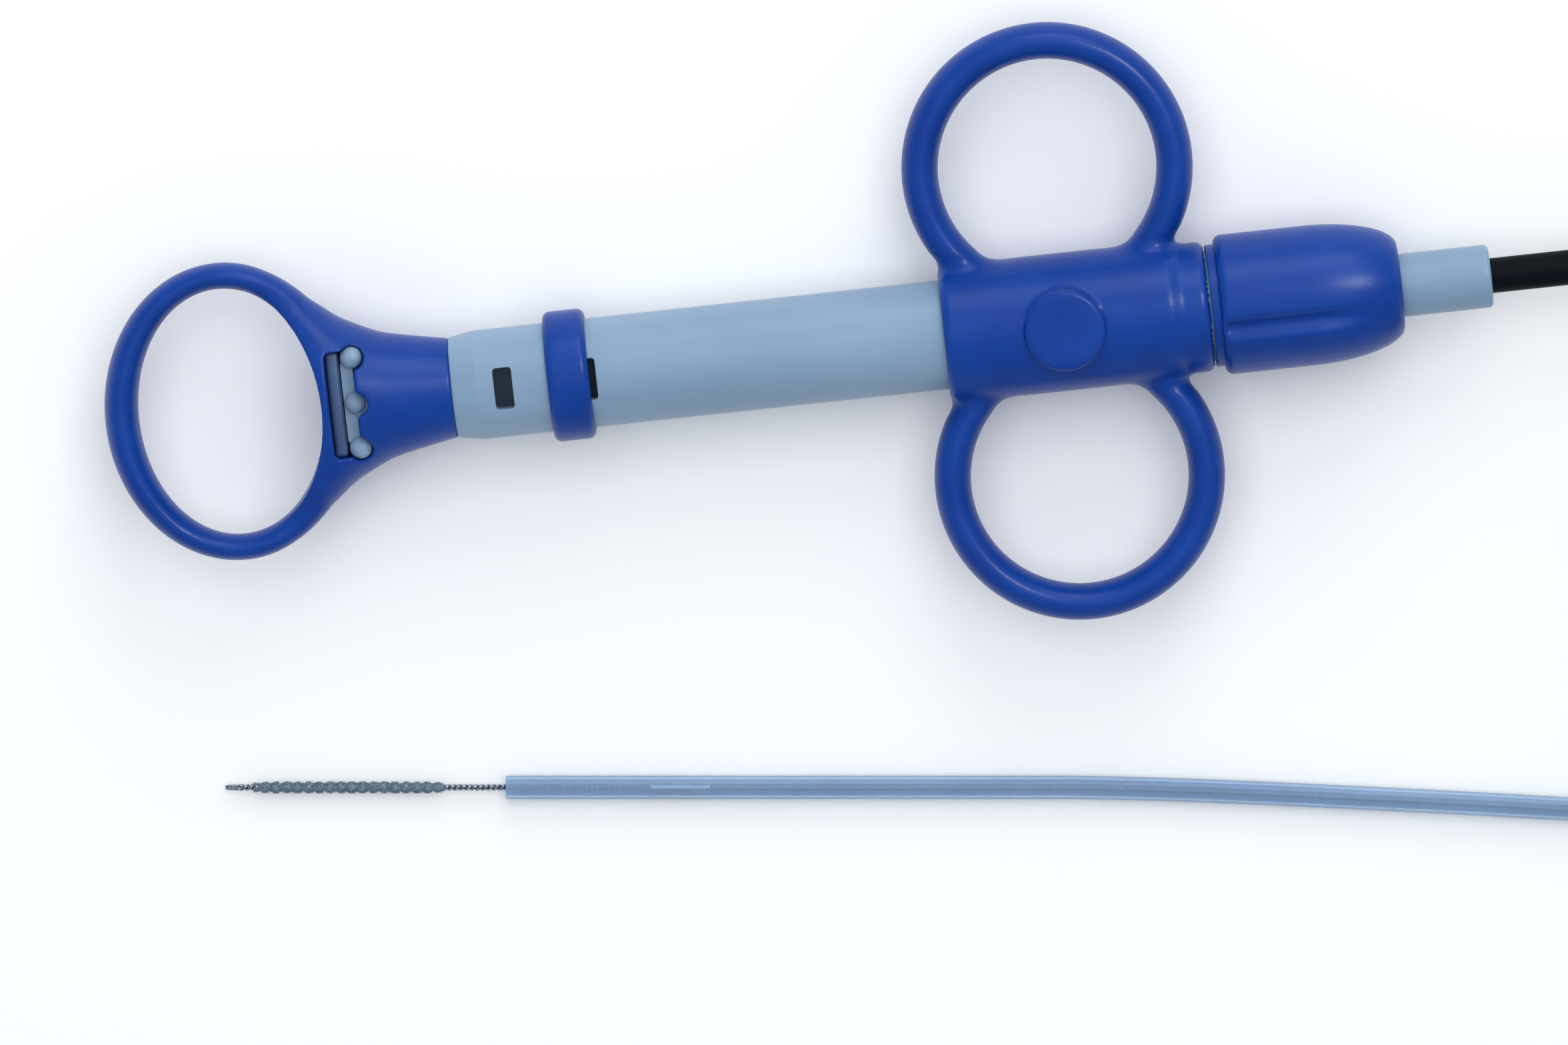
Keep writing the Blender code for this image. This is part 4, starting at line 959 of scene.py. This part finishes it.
# Inside the handle: the carrier that slides in the tube with its grub screw, the stiff pull tube
# and the drive wire, and in the nose the bush, the rubber seal and the ferrule of the sheath.
bright_steel = finish_of(
    "bright_steel", (198, 200, 204), (160, 164, 170), 0.8 * MM, 0.08 * MM, 0.006 * MM, (0.2, 0.36),
    stretch=(0.08, 1.0, 1.0), Metallic=1.0)
seal_rubber = finish_of(
    "seal_rubber", (66, 68, 72), (50, 52, 56), 1.0 * MM, 0.15 * MM, 0.02 * MM, (0.6, 0.8))
INNER_FINISHES = {
    "wire_carrier": pale_plastic, "front_bush": pale_plastic, "clamp_screw": bright_steel,
    "pull_tube": bright_steel, "drive_wire": cable_steel, "wire_end_crimp": dull_steel,
    "seal_ring": seal_rubber, "sheath_ferrule": bright_steel, "brush_sleeve": bright_steel,
}
for name, inner_finish in INNER_FINISHES.items():
    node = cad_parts[name]
    node.data.materials.clear()
    node.data.materials.append(inner_finish)

# The brush's stem is two steel wires twisted together. They fold over at the tip as a small loop,
# and the crimped sleeve inside the sheath joins them to the drive wire.
STRAND_RADIUS = 0.175 * MM
STRAND_OFFSET = 0.165 * MM
STRAND_LAY = 1.13 * MM
STRAND_STEPS = 16
STRAND_SIDES = 10
STEM_INSIDE = 17.6 * MM
BRUSH_REACH = 28.4 * MM
LOOP_LENGTH = 1.75 * MM
LOOP_PRESSED = 0.25
LOOP_STEPS = 24
LOOP_PRESSED_FROM = 0.25
LOOP_BLUNTNESS = 4


def on_brush(along, across, rise):
    """A place beside the brush: along from the sheath's mouth, inward positive."""
    return MOUTH + TIP_ALONG * along + picture_up * across + overhead * rise


def strand(phase):
    """One wire of the stem, from inside the sheath to where the loop begins."""
    length = STEM_INSIDE + BRUSH_REACH - LOOP_LENGTH
    count = round(length / STRAND_LAY * STRAND_STEPS)
    line = []
    for i in range(count + 1):
        along = STEM_INSIDE - length * i / count
        turn = phase - 2 * math.pi * (along + BRUSH_REACH - LOOP_LENGTH) / STRAND_LAY
        line.append(on_brush(along, STRAND_OFFSET * math.cos(turn), STRAND_OFFSET * math.sin(turn)))
    return line


def loop(side):
    """Half of the folded loop: the two wires lie side by side, pressed together, and close at the tip."""
    line = []
    for i in range(1, LOOP_STEPS + 1):
        share = i / LOOP_STEPS
        pressed = 1 - LOOP_PRESSED * eased(min(1.0, share / LOOP_PRESSED_FROM))
        wide = STRAND_OFFSET * pressed * math.sqrt(1 - share ** LOOP_BLUNTNESS)
        along = (LOOP_LENGTH - STRAND_RADIUS) * (1 - share) + STRAND_RADIUS - BRUSH_REACH
        line.append(on_brush(along, side * wide, 0.0))
    return line


stem_wire = finish_of(
    "stem_wire", (196, 206, 220), (50, 62, 78), 0.16 * MM, 0.06 * MM, 0.006 * MM, (0.14, 0.3),
    Metallic=1.0)
stem = tube_along(
    "brush_stem_first_wire", strand(0.0) + loop(1), (STRAND_RADIUS,), STRAND_SIDES, closed_ends=True)
second_wire = tube_along(
    "brush_stem_second_wire", strand(math.pi) + loop(-1), (STRAND_RADIUS,), STRAND_SIDES, closed_ends=True)
fit(stem, stem_wire, "brush", "bright_steel", "brush_stem")
fit(second_wire, stem_wire, "brush", "bright_steel")

# The bristles are fine nylon filaments, trapped between the two wires as they are twisted.
# They stand out as a dense left-hand spiral of two rows, cut round and shorter at both ends.
BRISTLE_FRONT = -25.4 * MM
BRISTLE_REAR = -6.1 * MM
BRISTLE_RADIUS = 0.66 * MM
BRISTLE_WAIST = 0.44 * MM
BRISTLE_PITCH = 2.18 * MM
BRISTLE_TAPER = 1.8 * MM
BRISTLE_SHORTEST = 0.8
CORE_STEPS = 20
CORE_SIDES = 28
CORE_SHARE = 0.76
CORE_END = 0.6
# How uneven the core is, across its width and its waist: depth, beat along it and beat round it
CORE_UNEVEN = ((0.08, 1.7, 2.3), (0.1, 2.9, 1.9))
FILAMENTS = 8600
FILAMENT_RADIUS = 0.026 * MM
FILAMENT_SIDES = 3
FILAMENT_SWING = 0.6
FILAMENT_LEAN = 0.14
FILAMENT_CUT = 0.86
FILAMENT_MARGIN = 0.05 * MM
# A filament's root, bend and tip: its share of the way out, of its lean, and how much light it gets
FILAMENT_STOPS = ((0.25, 0.0, 0.0), (0.7, 0.4, 0.5), (1.0, 1.0, 1.0))
# Painted shade: the brush's core and the filaments' roots are coloured BRISTLE_SHADOW, and the filaments
# grow lighter towards their tips and towards the crests of the spiral
BRISTLE_SHADOW = (118, 140, 160)
draw = random.Random(7)


def bristle_scale(along):
    """How long the bristles are at a place, as a share of their full length."""
    end = min(along - BRISTLE_FRONT, BRISTLE_REAR - along)
    return BRISTLE_SHORTEST + (1 - BRISTLE_SHORTEST) * min(1.0, max(0.0, end / BRISTLE_TAPER))


def bristle_turn(along):
    return -2 * math.pi * (along - BRISTLE_FRONT) / BRISTLE_PITCH


bristle_points, bristle_faces, bristle_painted_light = [], [], []
core_rings = round((BRISTLE_REAR - BRISTLE_FRONT) / BRISTLE_PITCH * CORE_STEPS)
for i in range(core_rings + 1):
    along = BRISTLE_FRONT + (BRISTLE_REAR - BRISTLE_FRONT) * i / core_rings
    scale = CORE_SHARE * bristle_scale(along)
    if i in (0, core_rings):
        scale *= CORE_END
    turn = bristle_turn(along)
    for k in range(CORE_SIDES):
        angle = 2 * math.pi * k / CORE_SIDES
        uneven = [1 + deep * math.sin(i * along_beat + k * round_beat)
                  for deep, along_beat, round_beat in CORE_UNEVEN]
        wide = BRISTLE_RADIUS * scale * math.cos(angle) * uneven[0]
        thin = BRISTLE_WAIST * scale * math.sin(angle) * uneven[1]
        bristle_points.append(on_brush(
            along, wide * math.cos(turn) - thin * math.sin(turn),
            wide * math.sin(turn) + thin * math.cos(turn)))
        bristle_painted_light.append(0.0)
    if i < core_rings:
        bristle_faces += belt(i * CORE_SIDES, (i + 1) * CORE_SIDES, CORE_SIDES)
bristle_faces.append(tuple(range(CORE_SIDES)))
bristle_faces.append(tuple(core_rings * CORE_SIDES + k for k in range(CORE_SIDES)))


def filament(along):
    """A fine bent rod from the core out past its surface, three-sided, with a blunt end."""
    turn = bristle_turn(along) + draw.choice((0.0, math.pi))
    swing = draw.gauss(0.0, FILAMENT_SWING)
    angle = turn + swing
    oval_out = 1.0 / math.hypot(math.cos(swing) / BRISTLE_RADIUS, math.sin(swing) / BRISTLE_WAIST)
    tip_out = oval_out * bristle_scale(along) * draw.uniform(FILAMENT_CUT, 1.0)
    lean = draw.gauss(0.0, FILAMENT_LEAN) * MM
    near_crest = math.cos(swing) ** 2
    start = len(bristle_points)
    for way_out, way_over, lit in FILAMENT_STOPS:
        out = way_out * tip_out
        middle = Vector((along + way_over * lean, out * math.cos(angle), out * math.sin(angle)))
        for k in range(FILAMENT_SIDES):
            corner = 2 * math.pi * k / FILAMENT_SIDES
            side_step = FILAMENT_RADIUS * math.cos(math.pi / 2 + corner)
            bristle_points.append(on_brush(
                middle.x + FILAMENT_RADIUS * math.sin(corner),
                middle.y - side_step * math.sin(angle), middle.z + side_step * math.cos(angle)))
            bristle_painted_light.append(lit * near_crest)
    tip = start + FILAMENT_SIDES * (len(FILAMENT_STOPS) - 1)
    for ring in range(start, tip, FILAMENT_SIDES):
        bristle_faces.extend(belt(ring, ring + FILAMENT_SIDES, FILAMENT_SIDES))
    bristle_faces.append(tuple(range(start, start + FILAMENT_SIDES)))
    bristle_faces.append(tuple(range(tip, tip + FILAMENT_SIDES)))


for _ in range(FILAMENTS):
    filament(draw.uniform(BRISTLE_FRONT + FILAMENT_MARGIN, BRISTLE_REAR - FILAMENT_MARGIN))
bristles = solid("brush_bristle_spiral", bristle_points, bristle_faces)
bristle_nylon = finish_of(
    "bristle_nylon", (200, 216, 230), (142, 164, 184), 0.22 * MM, 0.05 * MM, 0.01 * MM, (0.45, 0.7),
    Specular_IOR_Level=0.3)
painted_light_layer = bristles.data.attributes.new("depth", "FLOAT", "POINT")
painted_light_layer.data.foreach_set("value", bristle_painted_light)
nylon_nodes, nylon_links = bristle_nylon.node_tree.nodes, bristle_nylon.node_tree.links
nylon_shader = nylon_nodes["Principled BSDF"]
nylon_shades = nylon_shader.inputs["Base Color"].links[0].from_socket
painted_light_read = nylon_nodes.new("ShaderNodeAttribute")
painted_light_read.attribute_name = "depth"
# The base colour is mixed towards BRISTLE_SHADOW where the painted light is low: painted shade in the core
# and at the filaments' roots
shaded = nylon_nodes.new("ShaderNodeMixRGB")
shaded.inputs["Color1"].default_value = (*[linear(c) for c in BRISTLE_SHADOW], 1.0)
nylon_links.new(painted_light_read.outputs["Fac"], shaded.inputs["Fac"])
nylon_links.new(nylon_shades, shaded.inputs["Color2"])
nylon_links.new(shaded.outputs["Color"], nylon_shader.inputs["Base Color"])
fit(bristles, bristle_nylon, "brush", "bristle_nylon", "brush_bristles")
